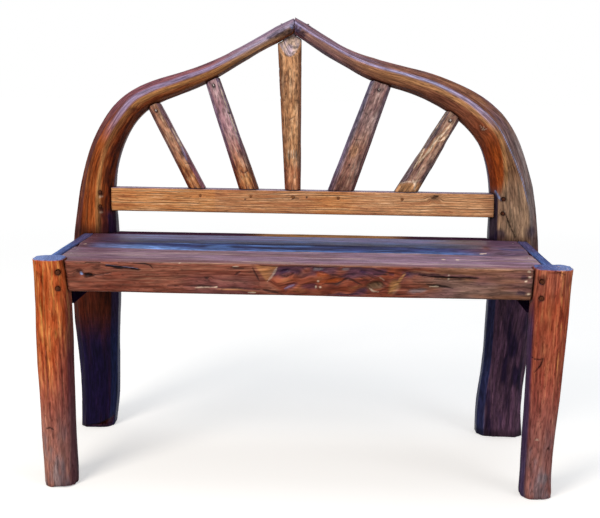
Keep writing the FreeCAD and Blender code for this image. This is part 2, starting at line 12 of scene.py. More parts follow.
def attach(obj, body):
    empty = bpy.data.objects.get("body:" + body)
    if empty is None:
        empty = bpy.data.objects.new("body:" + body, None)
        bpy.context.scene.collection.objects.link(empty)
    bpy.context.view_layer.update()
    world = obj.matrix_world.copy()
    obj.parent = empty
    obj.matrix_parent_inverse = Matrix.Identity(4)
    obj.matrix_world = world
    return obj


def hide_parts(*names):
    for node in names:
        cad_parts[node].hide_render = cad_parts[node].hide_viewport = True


# Looks of a rustic bench in stained and varnished hardwood. The frame is in metres, +X to the
# right for someone facing the bench, +Y to the rear and +Z up. Names that end in _mm, and every
# place and size on the wood given below, are in millimetres.
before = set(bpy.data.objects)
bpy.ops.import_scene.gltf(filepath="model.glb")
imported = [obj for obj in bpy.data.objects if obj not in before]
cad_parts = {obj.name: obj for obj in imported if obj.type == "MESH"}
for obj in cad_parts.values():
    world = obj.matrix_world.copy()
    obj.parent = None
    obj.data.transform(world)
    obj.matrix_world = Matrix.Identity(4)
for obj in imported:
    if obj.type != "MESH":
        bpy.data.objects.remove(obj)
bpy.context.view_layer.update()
scene = bpy.context.scene
MM = 0.001

# Places of the frame that the carving below refers to
peak_x_mm = -29.5
post_middle_mm = 197.0
slab_front_mm = -214


# Smooth random fields


HASH_STEPS = np.array([73856093, 19349663, 83492791], np.int64)
HASH_MIX = 1274126177
HASH_SHIFTS = (13, 15)
HASH_MASK = 0xFFFFFFFF
VALUE_MASK = 0xFFFF
# How far three layers of the field reach together
LAYERS_REACH = 1.5


def noise(places, cell, seed):
    """A smooth field from -1 to 1, with one random value to each cell of the given size."""
    grid = places / np.asarray(cell, float)
    corner = np.floor(grid).astype(np.int64)
    part = grid - corner
    part = part * part * (3 - 2 * part)
    total = np.zeros(len(places))
    for step in product((0, 1), repeat=3):
        spot = ((corner + step) @ HASH_STEPS + seed * HASH_MIX) & HASH_MASK
        spot = ((spot ^ (spot >> HASH_SHIFTS[0])) * HASH_MIX) & HASH_MASK
        value = 2 * ((spot ^ (spot >> HASH_SHIFTS[1])) & VALUE_MASK) / VALUE_MASK - 1
        total += value * np.prod(np.where(step, part, 1 - part), axis=1)
    return total


def rough_noise(places, cell, seed, layers=3):
    """Layers of the same field, each half as large and half as strong as the one before."""
    total = np.zeros(len(places))
    for layer in range(layers):
        total += noise(places, np.asarray(cell, float) / 2 ** layer, seed + layer) / 2 ** layer
    return total / LAYERS_REACH


def ramp(values, low, high):
    """0 below low, 1 above high and smooth between, or the other way round if low is higher."""
    share = np.clip((values - low) / (high - low), 0, 1)
    return share * share * (3 - 2 * share)


# Where the grain runs: along the wood, across it and through its depth, with half the piece's
# width there and the height of its middle line


def straight_grain(start, end, width):
    start, end = np.array(start, float), np.array(end, float)
    run = (end - start) / np.linalg.norm(end - start)
    rearward = np.array([0.0, 1.0, 0.0])
    across = np.cross(rearward, run)

    def grain(places):
        offset = places - start
        along = offset @ run
        half_width = np.full(len(places), width / 2)
        return along, offset @ across, offset @ rearward, half_width, start[2] + along * run[2]

    return grain


def depth_grain(middle_x, middle_z, width):
    """Grain of a bar that runs from front to rear."""

    def grain(places):
        x, y, z = places.T
        return y, z - middle_z, x - middle_x, np.full(len(places), width / 2), z

    return grain


def smooth_path(points, steps=24):
    """Points closely spaced on a smooth curve through the given ones."""
    points = np.array(points, float)
    points = np.vstack([2 * points[0] - points[1], points, 2 * points[-1] - points[-2]])
    path = []
    for before, start, end, after in zip(points, points[1:], points[2:], points[3:]):
        for share in np.arange(steps) / steps:
            pull = (
                (2 * before - 5 * start + 4 * end - after) * share
                + (3 * start - before - 3 * end + after) * share * share
            )
            path.append((2 * start + (end - before + pull) * share) / 2)
    path.append(points[-2])
    return np.array(path)


def crook_grain(rows, outer_side, batch=8192):
    """Grain of a bent trunk, from rows of x, z and width along its middle line. The nearest places
    on that line are looked up for a batch of points at a time."""
    path = smooth_path(rows)
    line, widths = path[:, :2], path[:, 2]
    runs = np.gradient(line, axis=0)
    steps = np.linalg.norm(np.diff(line, axis=0), axis=1)
    lengths = np.concatenate([[0], np.cumsum(steps)])
    runs /= np.linalg.norm(runs, axis=1)[:, None]
    outward = outer_side * np.stack([runs[:, 1], -runs[:, 0]], axis=1)

    def grain(places):
        flat = places[:, [0, 2]]
        nearest = np.zeros(len(flat), int)
        for low in range(0, len(flat), batch):
            part = flat[low:low + batch, None] - line[None]
            nearest[low:low + batch] = np.argmin((part ** 2).sum(2), axis=1)
        offset = flat - line[nearest]
        along = lengths[nearest] + (offset * runs[nearest]).sum(1)
        across = (offset * outward[nearest]).sum(1)
        return along, across, places[:, 1] - post_middle_mm, widths[nearest] / 2, line[nearest, 1]

    return grain


def linear(hex_code):
    """An sRGB hex colour as a linear one."""
    values = [int(hex_code[place:place + 2], 16) / 255 for place in (0, 2, 4)]
    return [((v + 0.055) / 1.055) ** 2.4 if v > 0.04045 else v / 12.92 for v in values] + [1.0]


# Tones laid over the wood's own figure: finishes that age, weather and tools have left, and also painted
# shade and painted sky reflections, sheens and glints
tones = {
    "pitch": "0E070C", "shade": "34140F", "umber": "55251A", "plum": "51303F", "mauve": "7B4C5C",
    "indigo": "191030", "navy": "222F5C", "slate": "56679A", "sky": "6488C4", "ice": "93A6D4",
    "lilac": "9C8FB4", "dusk": "66608C", "bone": "E2C6AA", "gold": "BA8450", "honey": "F0A858",
    "ember": "A84C18", "rust": "64240E", "olive": "84684C", "ash": "857A7C",
}

# The two ways marks are placed: on the front, by x and z, and on top, by x and y
FRONT, TOP = (0, 2), (0, 1)


def vertex_values(mesh, field):
    values = np.zeros(len(mesh.vertices) * 3)
    mesh.vertices.foreach_get(field, values)
    return values.reshape(-1, 3)


def keep(mesh, name, kind, field, values):
    attribute = mesh.attributes.new(name, kind, "POINT")
    attribute.data.foreach_set(field, values.astype(np.float32).ravel())


class Wood:
    """One piece's surface: how far each point is pushed in, and the finish laid over it, with its painted
    shade and painted reflections.
    """

    def __init__(self, mesh, grain, pith):
        self.mesh = mesh
        self.places = vertex_values(mesh, "co") / MM
        self.x, self.y, self.z = self.places.T
        # How far each point faces right, rearwards and up, and whether it is on the front or top
        self.normals = vertex_values(mesh, "normal")
        self.right, self.rear, self.up = self.normals.T
        self.front = ramp(-self.rear, 0.25, 0.7)
        self.top = ramp(self.up, 0.5, 0.9)
        self.sides = 1 - self.top
        self.along, self.across, self.deep, self.half_width, self.height = grain(self.places)
        self.grain_places = np.stack([self.along, self.across, self.deep], axis=1)
        self.edge = self.across / self.half_width
        self.pith = pith
        self.push = np.zeros(len(self.places))
        self.bend = np.zeros(len(self.places))
        self.colour = np.zeros((len(self.places), 3))
        self.cover = np.zeros(len(self.places))

    def paint(self, tone, share):
        """Lay a tone over the finish, where share goes from 0 to 1."""
        share = np.clip(share, 0, 1)
        total = share + self.cover * (1 - share)
        kept = (self.cover * (1 - share))[:, None] * self.colour
        laid = share[:, None] * np.array(linear(tones[tone])[:3])
        self.colour = (kept + laid) / np.maximum(total, 1e-6)[:, None]
        self.cover = total

    def coats(self, *coats, where=1.0):
        """Lay several tones, one over the other, each with its share of the place they all lie on."""
        for tone, share in coats:
            self.paint(tone, share * where)

    def streaks(self, cell, seed, low=-0.2, high=0.5):
        """Streaks along the grain, from 0 to 1."""
        return ramp(rough_noise(self.grain_places, cell, seed), low, high)

    def specks(self, cell, seed, low, high):
        """Specks that don't follow the grain, from 0 to 1."""
        return ramp(noise(self.places, cell, seed), low, high)

    def band(self, centre, width):
        """1 on a band that runs along the piece, at a share of its half width."""
        wander = 0.25 * width * noise(self.grain_places, (60, 30, 30), 15)
        return ramp(np.abs(self.edge - centre + wander) / width, 1.0, 0.3)

    def seen(self, view):
        return (self.front if view == FRONT else self.top) > 0.05

    def line(self, path, half_width, view=FRONT, blunt=0.5):
        """1 on a line through places on the front or top, thinner toward its ends."""
        path = np.array(path, float)
        flat = self.places[:, view]
        margin = 3 * half_width + 2
        close = ((flat > path.min(0) - margin) & (flat < path.max(0) + margin)).all(1) & self.seen(view)
        flat = flat[close]
        steps = np.linalg.norm(np.diff(path, axis=0), axis=1)
        gone = np.concatenate([[0], np.cumsum(steps)])
        nearest = np.full(len(flat), np.inf)
        where = np.zeros(len(flat))
        for start, end, step, before in zip(path, path[1:], steps, gone):
            part = np.clip((flat - start) @ (end - start) / step ** 2, 0, 1)
            off = np.linalg.norm(flat - start - part[:, None] * (end - start), axis=1)
            better = off < nearest
            nearest[better] = off[better]
            where[better] = (before + part[better] * step) / gone[-1]
        opening = half_width * (4 * where * (1 - where)) ** blunt + 0.01
        uneven = 0.45 * noise(self.places[close], (9, 9, 5), int(abs(path).sum()))
        share = np.zeros(len(self.places))
        share[close] = ramp(nearest / opening + uneven, 1.3, 0.35)
        return share

    def strokes(self, *rows):
        """Lines on the front, each with its tone, share, half width and path."""
        for tone, share, half_width, *path in rows:
            self.paint(tone, share * self.line(path, half_width))

    def patch(self, centre, size, tilt=0, view=FRONT, soft=0.35):
        """1 in an uneven ellipse on the front or top, its long side turned by an angle."""
        flat = self.places[:, view] - np.array(centre, float)
        close = (np.abs(flat) < 1.8 * max(size)).all(1) & self.seen(view)
        turn = math.radians(tilt)
        axes = np.array([[math.cos(turn), -math.sin(turn)], [math.sin(turn), math.cos(turn)]])
        far = np.linalg.norm(flat[close] @ axes / np.array(size, float), axis=1)
        cell = np.full(3, min(size) * 1.1)
        far += 0.3 * noise(self.places[close], cell, int(abs(np.array(centre)).sum()))
        share = np.zeros(len(flat))
        share[close] = ramp(far, 1.15, soft)
        return share

    def spots(self, *rows):
        """Patches on the front, each with its tone, share, centre, size and tilt, if it has one."""
        for tone, share, *patch in rows:
            self.paint(tone, share * self.patch(*patch))

    def hew(self, cell, depth, seed):
        """Shallow adze hollows with soft ridges between them."""
        hollows = 1 - np.abs(noise(self.grain_places, cell, seed))
        self.push += depth * (1 - hollows ** 2)

    def crack(self, path, half_width, depth, share=1.0, view=FRONT, lip_highlight=0.0):
        """A drying crack, dark inside, and with a painted highlight along its upper edge if it has one."""
        inside = self.line(path, half_width, view)
        self.push += depth * inside
        if lip_highlight:
            above = [(place, height + 0.9 * half_width) for place, height in path]
            self.paint("ice", lip_highlight * self.line(above, half_width * 0.5, view))
        self.paint("pitch", share * inside)

    def cracks(self, *rows):
        """Cracks in the front, each with its half width, depth, share of pitch and path."""
        for half_width, depth, share, *path in rows:
            self.crack(path, half_width, depth, share)

    def knot(self, centre, size, hollow, share=0.9):
        """A knot: the grain flows round it and its heart is dark."""
        heart = self.patch(centre, size)
        around = self.patch(centre, np.array(size) * 2.3, soft=0.0)
        self.push += hollow * heart
        self.bend += 0.7 * max(size) * around * (1 - heart)
        self.coats(("umber", 0.5 * around), ("pitch", share * heart))

    def hole(self, centre, size, share=0.85):
        """A filled peg or nail hole with a stained rim."""
        self.paint("shade", share * self.patch(centre, (size * 1.5, size * 1.5)))

    def stain_joints(self, others, reach):
        """Dark stain that has run into the joints with the neighbouring pieces."""
        close = np.zeros(len(self.places))
        for index, place in enumerate(self.places):
            hit = others.find_nearest(Vector(place) * MM, reach * MM)
            if hit[3] is not None:
                close[index] = 1 - hit[3] / (reach * MM)
        uneven = 0.8 + 0.35 * noise(self.places, (11, 11, 11), 5)
        self.paint("pitch", 0.80 * close ** 1.8 * uneven)

    def finish(self):
        """Push the points in and keep the grain and the finish, painted shade and reflections included, as
        attributes.
        """
        moved = (self.places - self.normals * self.push[:, None]) * MM
        self.mesh.vertices.foreach_set("co", moved.ravel())
        slow, quick = (noise(self.grain_places, cell, seed) for cell, seed in (
            ((260, 30, 30), 41), ((70, 12, 12), 42)))
        bend = 3.0 * slow + quick
        across = self.edge * self.half_width.max() - self.pith[0] + bend + self.bend
        deep = self.deep - self.pith[1] + bend
        ring = np.hypot(across, deep)
        around = np.arctan2(deep, across) * ring.mean()
        keep(self.mesh, "grain", "FLOAT_VECTOR", "vector", np.stack([self.along, ring, around], axis=1) * MM)
        keep(self.mesh, "finish", "FLOAT_COLOR", "color", np.column_stack([self.colour, self.cover]))
        self.mesh.update()


# Materials


# Sockets of a colour mix, which share their names with those of its other kinds
FACTOR, FIRST, SECOND, MIXED = 0, 6, 7, 2
# How often a wave texture repeats in one of its units, and how much longer than apart growth lines run
WAVES_PER_UNIT = 20 / math.tau
LINE_RUN = 60.0


def add_node(tree, kind, inputs=None, **settings):
    """A node with its settings, and each input given a value, or linked to a socket or to the
    first output of a node."""
    node = tree.nodes.new(kind)
    for name, value in settings.items():
        setattr(node, name, value)
    for name, value in (inputs or {}).items():
        if isinstance(value, bpy.types.Node):
            value = value.outputs[0]
        if isinstance(value, bpy.types.NodeSocket):
            tree.links.new(value, node.inputs[name])
        else:
            node.inputs[name].default_value = value
    return node


def new_material(name):
    """A material without nodes, and a function that adds one to it."""
    material = bpy.data.materials.new(name)
    material.use_nodes = True
    material.node_tree.nodes.clear()
    return material, partial(add_node, material.node_tree)


def set_stops(shade, *stops):
    """Give a colour ramp its stops, each a place from 0 to 1 and a hex colour."""
    elements = shade.color_ramp.elements
    elements[0].position, elements[1].position = stops[0][0], stops[-1][0]
    for place, _ in stops[1:-1]:
        elements.new(place)
    for element, (_, hex_code) in zip(elements, stops):
        element.color = linear(hex_code)


def add_surface(add, colour, height, strength, height_mm, inputs):
    """A material's shader and output, with a bump that is height_mm high."""
    bump = add("ShaderNodeBump", {"Height": height, "Strength": strength, "Distance": height_mm * MM})
    shader = add("ShaderNodeBsdfPrincipled", {
        "Base Color": colour, "Normal": bump, "Coat Normal": bump, **inputs})
    add("ShaderNodeOutputMaterial", {"Surface": shader})


def varnished_wood(name, browns, streak_mm, line_mm, run_mm, lines, flecks, roughness, specular, coat, seed):
    """Stained hardwood: growth lines, long streaks, flecks and fine pores under the painted finish, which
    also holds painted shade and painted reflections.
    Streaks are streak_mm wide, growth lines line_mm apart, and both run on for about run_mm."""
    material, add = new_material(name)
    grain = add("ShaderNodeAttribute", attribute_name="grain").outputs["Vector"]
    finish = add("ShaderNodeAttribute", attribute_name="finish").outputs

    def drawn_out(kind, along_mm, across_mm, offset, inputs, **settings):
        """A texture drawn out along the grain."""
        place = add("ShaderNodeMapping", {
            "Vector": grain, "Location": (offset + seed, offset, seed),
            "Scale": (1 / (along_mm * MM), 1 / (across_mm * MM), 1 / (across_mm * 2.5 * MM))})
        return add(kind, {"Vector": place, "Scale": 1.0, **inputs}, **settings).outputs["Fac"]

    # Streaks, the bands and patches they lie in, pores and flecks
    streaks, bands, patches, pores, dashes = (
        drawn_out("ShaderNodeTexNoise", along_mm, across_mm, offset, {"Detail": detail, "Roughness": 0.65})
        for along_mm, across_mm, offset, detail in (
            (run_mm * 0.35, streak_mm, 1.7, 3.0), (run_mm, streak_mm * 3, 5.1, 2.0),
            (run_mm * 0.6, streak_mm * 14, 9.3, 2.0), (12.0, 1.0, 3.9, 1.0), (run_mm * 0.16, 1.7, 6.6, 1.0)))
    growth = drawn_out("ShaderNodeTexWave", line_mm * LINE_RUN, line_mm * WAVES_PER_UNIT, 2.3, {
        "Distortion": 3.5, "Detail": 2.0, "Detail Scale": 1.2}, bands_direction="Y")

    # The wood's own colour
    tone = add("ShaderNodeMath", {0: bands, 1: 0.35}, operation="MULTIPLY")
    for part, weight in ((streaks, 0.50), (patches, 0.15)):
        tone = add("ShaderNodeMath", {0: part, 1: weight, 2: tone}, operation="MULTIPLY_ADD")
    tone = add("ShaderNodeMapRange", {"Value": tone, "From Min": 0.36, "From Max": 0.64})
    shade = add("ShaderNodeValToRGB", {"Fac": tone})
    set_stops(shade, *zip((0.0, 0.33, 0.66, 1.0), browns))

    # Dark growth lines within the bands, and dark pores
    lines = add("ShaderNodeMapRange", {"Value": growth, "From Min": 0.55, "From Max": 0.95, "To Max": lines})
    banded = add("ShaderNodeMapRange", {"Value": bands, "From Min": 0.40, "From Max": 0.62})
    lines = add("ShaderNodeMath", {0: lines, 1: banded}, operation="MULTIPLY")
    pores = add("ShaderNodeMapRange", {"Value": pores, "From Min": 0.60, "From Max": 0.67, "To Max": 0.5})
    dark = add("ShaderNodeMath", {0: lines, 1: pores}, operation="MAXIMUM")

    # The painted finish over it, with its painted shade and painted reflections, which the streaks, flecks
    # and dark marks still shade
    shading = add("ShaderNodeMapRange", {"Value": tone, "To Min": 0.50, "To Max": 1.50})
    laid = add("ShaderNodeVectorMath", {"Vector": finish["Color"], "Scale": shading}, operation="SCALE")
    mixed = add("ShaderNodeMix", {
        FACTOR: finish["Alpha"], FIRST: shade, SECOND: laid}, data_type="RGBA").outputs[MIXED]
    flecks = add("ShaderNodeMapRange", {
        "Value": dashes, "From Min": 0.34, "From Max": 0.66, "To Min": 1 - flecks, "To Max": 1 + flecks})
    level = add("ShaderNodeMath", {0: dark, 1: -0.8, 2: 1.0}, operation="MULTIPLY_ADD")
    level = add("ShaderNodeMath", {0: flecks, 1: level}, operation="MULTIPLY")
    colour = add("ShaderNodeVectorMath", {"Vector": mixed, "Scale": level}, operation="SCALE")

    height = add("ShaderNodeMath", {0: streaks, 1: 0.7}, operation="MULTIPLY")
    height = add("ShaderNodeMath", {0: dark, 1: -0.5, 2: height}, operation="MULTIPLY_ADD")
    sheen = add("ShaderNodeMapRange", {
        "Value": patches, "From Min": 0.3, "From Max": 0.7, "To Min": roughness[0], "To Max": roughness[1]})
    add_surface(add, colour, height, 0.8, 1.0, {
        "Roughness": sheen, "Specular IOR Level": specular, "Coat Weight": coat, "Coat Roughness": 0.25})
    return material


# Tropical hardwood trunks, hewn with an adze, stained red-brown and varnished by hand.
crook_wood = varnished_wood(
    "hewn_hardwood_crook", ("300F07", "6A3018", "96542E", "BE8450"), streak_mm=2.6, line_mm=7.0, run_mm=170.0,
    lines=0.45, flecks=0.34, roughness=(0.36, 0.52), specular=0.03, coat=0.04, seed=3.0)
# The legs are straight logs of the same wood, more orange, with long light streaks.
log_wood = varnished_wood(
    "hewn_hardwood_log", ("84300F", "B04C26", "C96638", "E88E50"), streak_mm=1.6, line_mm=5.5, run_mm=150.0,
    lines=0.42, flecks=0.24, roughness=(0.38, 0.54), specular=0.0, coat=0.05, seed=11.0)
# Thick sawn slabs, planed on top; the blue-violet on their tops is painted sky reflection.
slab_wood = varnished_wood(
    "sawn_hardwood_slab", ("4A1C12", "743A2A", "8C5240", "A87056"), streak_mm=1.7, line_mm=6.0, run_mm=210.0,
    lines=0.45, flecks=0.34, roughness=(0.46, 0.62), specular=0.10, coat=0.05, seed=23.0)
# A sawn rail of a lighter golden brown, with fine dark lines.
bar_wood = varnished_wood(
    "sawn_hardwood_rail", ("8E4A2C", "CA8049", "E09E64", "F6C090"), streak_mm=1.7, line_mm=4.4, run_mm=150.0,
    lines=0.95, flecks=0.20, roughness=(0.40, 0.56), specular=0.10, coat=0.05, seed=31.0)
# Hewn spindles of the same wood, greyer and more worn.
spoke_wood = varnished_wood(
    "hewn_hardwood_spindle", ("5C2612", "AA653A", "CC8E5E", "F0C294"), streak_mm=1.8, line_mm=5.0,
    run_mm=90.0, lines=0.7, flecks=0.40, roughness=(0.38, 0.54), specular=0.12, coat=0.08, seed=37.0)
# Rough-sawn rails out of the weather, stained darker and without gloss.
rail_wood = varnished_wood(
    "rough_sawn_hardwood", ("1E0C08", "3A1C14", "543022", "745036"), streak_mm=2.6, line_mm=7.0, run_mm=180.0,
    lines=0.4, flecks=0.3, roughness=(0.60, 0.75), specular=0.0, coat=0.0, seed=43.0)


def peg_end_grain(name, dark, light):
    """Whittled hardwood pegs: their end grain has drunk the stain, in dark specks 1.4 mm apart."""
    material, add = new_material(name)
    place = add("ShaderNodeTexCoord").outputs["Object"]
    specks = add("ShaderNodeTexVoronoi", {"Vector": place, "Scale": 1 / (1.4 * MM)})
    blotches = add("ShaderNodeTexNoise", {"Vector": place, "Scale": 1 / (5.0 * MM), "Detail": 3.0})
    tone = add("ShaderNodeMath", {0: specks, 1: blotches}, operation="MULTIPLY")
    shade = add("ShaderNodeValToRGB", {"Fac": tone})
    set_stops(shade, (0.0, dark), (1.0, light))
    add_surface(add, shade, tone, 0.5, 0.4, {"Roughness": 0.6, "Specular IOR Level": 0.1})
    return material


def worn_nail_steel():
    """Drawn steel nails, hammered flat: dull grey heads with bright hammer marks and a little rust."""
    material, add = new_material("hammered_steel_nail")
    place = add("ShaderNodeTexCoord").outputs["Object"]
    marks = add("ShaderNodeTexNoise", {"Vector": place, "Scale": 1 / (1.6 * MM), "Detail": 3.0})
    shade = add("ShaderNodeValToRGB", {"Fac": marks})
    set_stops(shade, (0.40, "5A3B2E"), (0.56, "C9C4BE"))
    add_surface(add, shade, marks, 0.6, 0.3, {"Metallic": 0.9, "Roughness": 0.35})
    return material


# Pegs in the legs and posts are nearly black-brown; those in the golden rail match its tone.
peg_wood = peg_end_grain("dark_end_grain_peg", "30130B", "7C4426")
pale_peg_wood = peg_end_grain("golden_end_grain_peg", "5E3018", "C28450")
nail_steel = worn_nail_steel()


# Wooden pieces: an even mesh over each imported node, then carved


def new_object(name, data):
    made = bpy.data.objects.new(name, data)
    scene.collection.objects.link(made)
    return made


def settled_mesh(piece):
    """Turn a piece with modifiers into a plain mesh."""
    graph = bpy.context.evaluated_depsgraph_get()
    piece_mesh = bpy.data.meshes.new_from_object(piece.evaluated_get(graph))
    piece.modifiers.clear()
    piece.data = piece_mesh
    return piece_mesh


def stand_for(piece, node):
    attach(piece, "root")
    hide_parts(node)


def joined_copy(node):
    """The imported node's mesh with its loose triangles joined."""
    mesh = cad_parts[node].data.copy()
    work = bmesh.new()
    work.from_mesh(mesh)
    bmesh.ops.remove_doubles(work, verts=work.verts, dist=0.01 * MM)
    work.to_mesh(mesh)
    work.free()
    return mesh


def neighbours(node, clean_joints):
    """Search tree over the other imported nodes, without those whose joints stayed clean."""
    corners, faces = [], []
    for name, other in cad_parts.items():
        if name == node or name in clean_joints:
            continue
        first = len(corners)
        corners += [vertex.co.copy() for vertex in other.data.vertices]
        faces += [[first + index for index in face.vertices] for face in other.data.polygons]
    return BVHTree.FromPolygons(corners, faces)


def even_mesh(piece, voxel_mm, softening):
    """Rebuild a piece as small even faces, which rounds its arrises as handling has."""
    remesh = piece.modifiers.new("even faces", "REMESH")
    remesh.mode = "VOXEL"
    remesh.voxel_size = voxel_mm * MM
    smooth = piece.modifiers.new("soft arrises", "SMOOTH")
    smooth.factor = 0.5
    smooth.iterations = softening
    return settled_mesh(piece)


def refine(mesh, details):
    """Smaller faces near the given places, so that cracks and knots have room."""
    work = bmesh.new()
    work.from_mesh(mesh)
    details = [(Vector(centre) * MM, size * MM) for centre, size in details]

    def near(vertex):
        return any((vertex.co - centre).length < size for centre, size in details)

    close = {vertex for vertex in work.verts if near(vertex)}
    edges = [edge for edge in work.edges if edge.verts[0] in close and edge.verts[1] in close]
    bmesh.ops.subdivide_edges(work, edges=edges, cuts=1, use_grid_fill=True)
    work.to_mesh(mesh)
    work.free()


# How far out of a joint the stain has run
STAIN_REACH = 6.0


def wooden_piece(
        node, grain, material, carve, voxel_mm, pith, softening=2, details=(), clean_joints=()):
    """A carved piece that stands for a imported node. The pith is where the growth rings have their
    middle, across the piece and through its depth."""
    piece = new_object(node + "_wood", joined_copy(node))
    mesh = even_mesh(piece, voxel_mm, softening)
    if details:
        refine(mesh, details)
    wood = Wood(mesh, grain, pith)
    carve(wood)
    wood.stain_joints(neighbours(node, clean_joints), STAIN_REACH)
    wood.finish()
    mesh.materials.clear()
    mesh.materials.append(material)
    mesh.polygons.foreach_set("use_smooth", np.ones(len(mesh.polygons), bool))
    stand_for(piece, node)


def carve_crook(wood, ridge, crest, outer_side):
    """The hewing that both crooks share, and where their parts are: above the seat, below it, on
    the arch, and on the inner and outer side of the front face. Ridge and crest are the two edges
    of that face, as shares of the half width."""
    wood.hew((80, 26, 26), 1.1, 7)
    wood.push += 0.5 * wood.streaks((160, 16, 16), 12)
    high = ramp(wood.height, 425, 455)
    arch = ramp(wood.height, 660, 760)
    wood.paint("plum", 0.35 * ramp(wood.rear, 0.3, 0.8))
    inner = ramp(wood.edge, ridge + 0.06, ridge - 0.10) * high
    outer = ramp(wood.edge, crest - 0.06, crest + 0.06) * high
    # Below the seat, thick dark stain and painted shade in front and on the inner side.
    foot = (1 - high) * ramp(-wood.rear, -0.45, 0.0)
    foot *= 1 - 0.75 * ramp(outer_side * wood.right, 0.80, 0.98)
    return high, foot, arch, inner, outer


def carve_left_post(wood):
    height, edge = wood.height, wood.edge
    ridge = np.interp(height, (560, 650, 720, 780), (-0.16, -0.06, 0.0, -0.36))
    crest = np.interp(height, (600, 700, 760), (0.64, 0.58, 0.48))
    high, foot, arch, inner, outer = carve_crook(wood, ridge, crest, -1)
    front = wood.front * high
    trunk = (1 - arch) * front
    streaks = wood.streaks((120, 9, 9), 16)
    wood.coats(
        ("ember", 0.55 * trunk * (1 - outer) * (0.3 + 0.7 * streaks)),
        ("shade", 0.50 * trunk * wood.streaks((90, 6, 6), 37, -0.1, 0.5)))
    deep_side = ramp(edge, ridge - 0.14, ridge - 0.52) * high * (1 - arch)
    wood.coats(
        ("rust", 0.80 * deep_side), ("shade", 0.75 * deep_side * wood.streaks((22, 8, 8), 17)),
        ("umber", 0.48 * outer * (1 - arch) * high),
        ("plum", 0.50 * outer * (1 - arch) * high * (0.4 + 0.6 * streaks)),
        # A painted highlight in gold along the ridge.
        ("gold", 0.70 * wood.band(ridge - 0.04, 0.20) * trunk * (0.5 + 0.5 * streaks)))
    # On the arch: a red-lilac top that is painted sky reflection, a painted pale sheen, a golden edge and a
    # dark red underside, with painted shade along its lower edge and more painted pale sheen near the peak.
    near_peak = ramp(height, 830, 900)
    wood.coats(
        ("mauve", 0.70 * outer * arch), ("plum", 0.55 * ramp(edge, 0.80, 0.98) * arch),
        ("lilac", (0.72 + 0.2 * near_peak) * wood.band(0.27, 0.30) * arch),
        ("gold", 0.92 * wood.band(-0.18, 0.30) * arch * (0.6 + 0.4 * streaks)),
        ("bone", 0.34 * near_peak * wood.front), ("lilac", 0.40 * near_peak * ramp(edge, -0.3, 0.1)),
        ("rust", 0.42 * inner * arch * (1 - 0.7 * near_peak)),
        ("gold", 0.62 * wood.band(-0.45, 0.38) * ramp(height, 800, 850) * (0.6 + 0.4 * streaks)),
        ("pitch", 0.26 * ramp(edge, -0.84, -0.99) * arch))
    wood.knot((-388, 744), (9, 5), 0.8, 0.35)
    for place in ((-467, 553), (-467, 517)):
        wood.hole(place, 5)
        wood.paint("bone", 0.4 * wood.patch((place[0], place[1] - 7), (6, 3)))
    wood.paint("shade", 0.7 * ramp(wood.z, 492, 466) * trunk)
    wood.paint("shade", 0.6 * wood.patch((-445, 480), (14, 26)))
    # Painted shade in navy and indigo on the inner side.
    inward = wood.right * high * (1 - arch)
    wood.coats(
        ("navy", 0.35 * ramp(inward, 0.85, 0.98)),
        ("indigo", 0.8 * ramp(inward, 0.15, 0.5) * ramp(height, 525, 505)))
    # Nearly black below the seat, from dark stain and painted shade, redder under it, with painted shade in
    # navy on the inner side, and chopped off at a slant at the bottom.
    wood.coats(
        ("shade", 0.95 * foot), ("rust", 0.44 * foot * ramp(height, 190, 290) * (0.5 + 0.5 * streaks)),
        ("indigo", foot * ramp(height, 290, 190) * (0.75 + 0.25 * (1 - streaks))),
        ("navy", 0.6 * foot * ramp(wood.right, 0.4, 0.8)))
    x, z = wood.x, wood.z
    chopped = ramp(np.interp(x, (-514, -476, -441), (4, 10, 27)) - z, 0, 3) * wood.front
    wood.push += 0.5 * chopped * (27 - z)
    wood.paint("umber", 0.8 * chopped)
    wood.crack([(-514, 4), (-476, 10), (-441, 27)], 1.8, 1.5)
    carve_peak(wood)


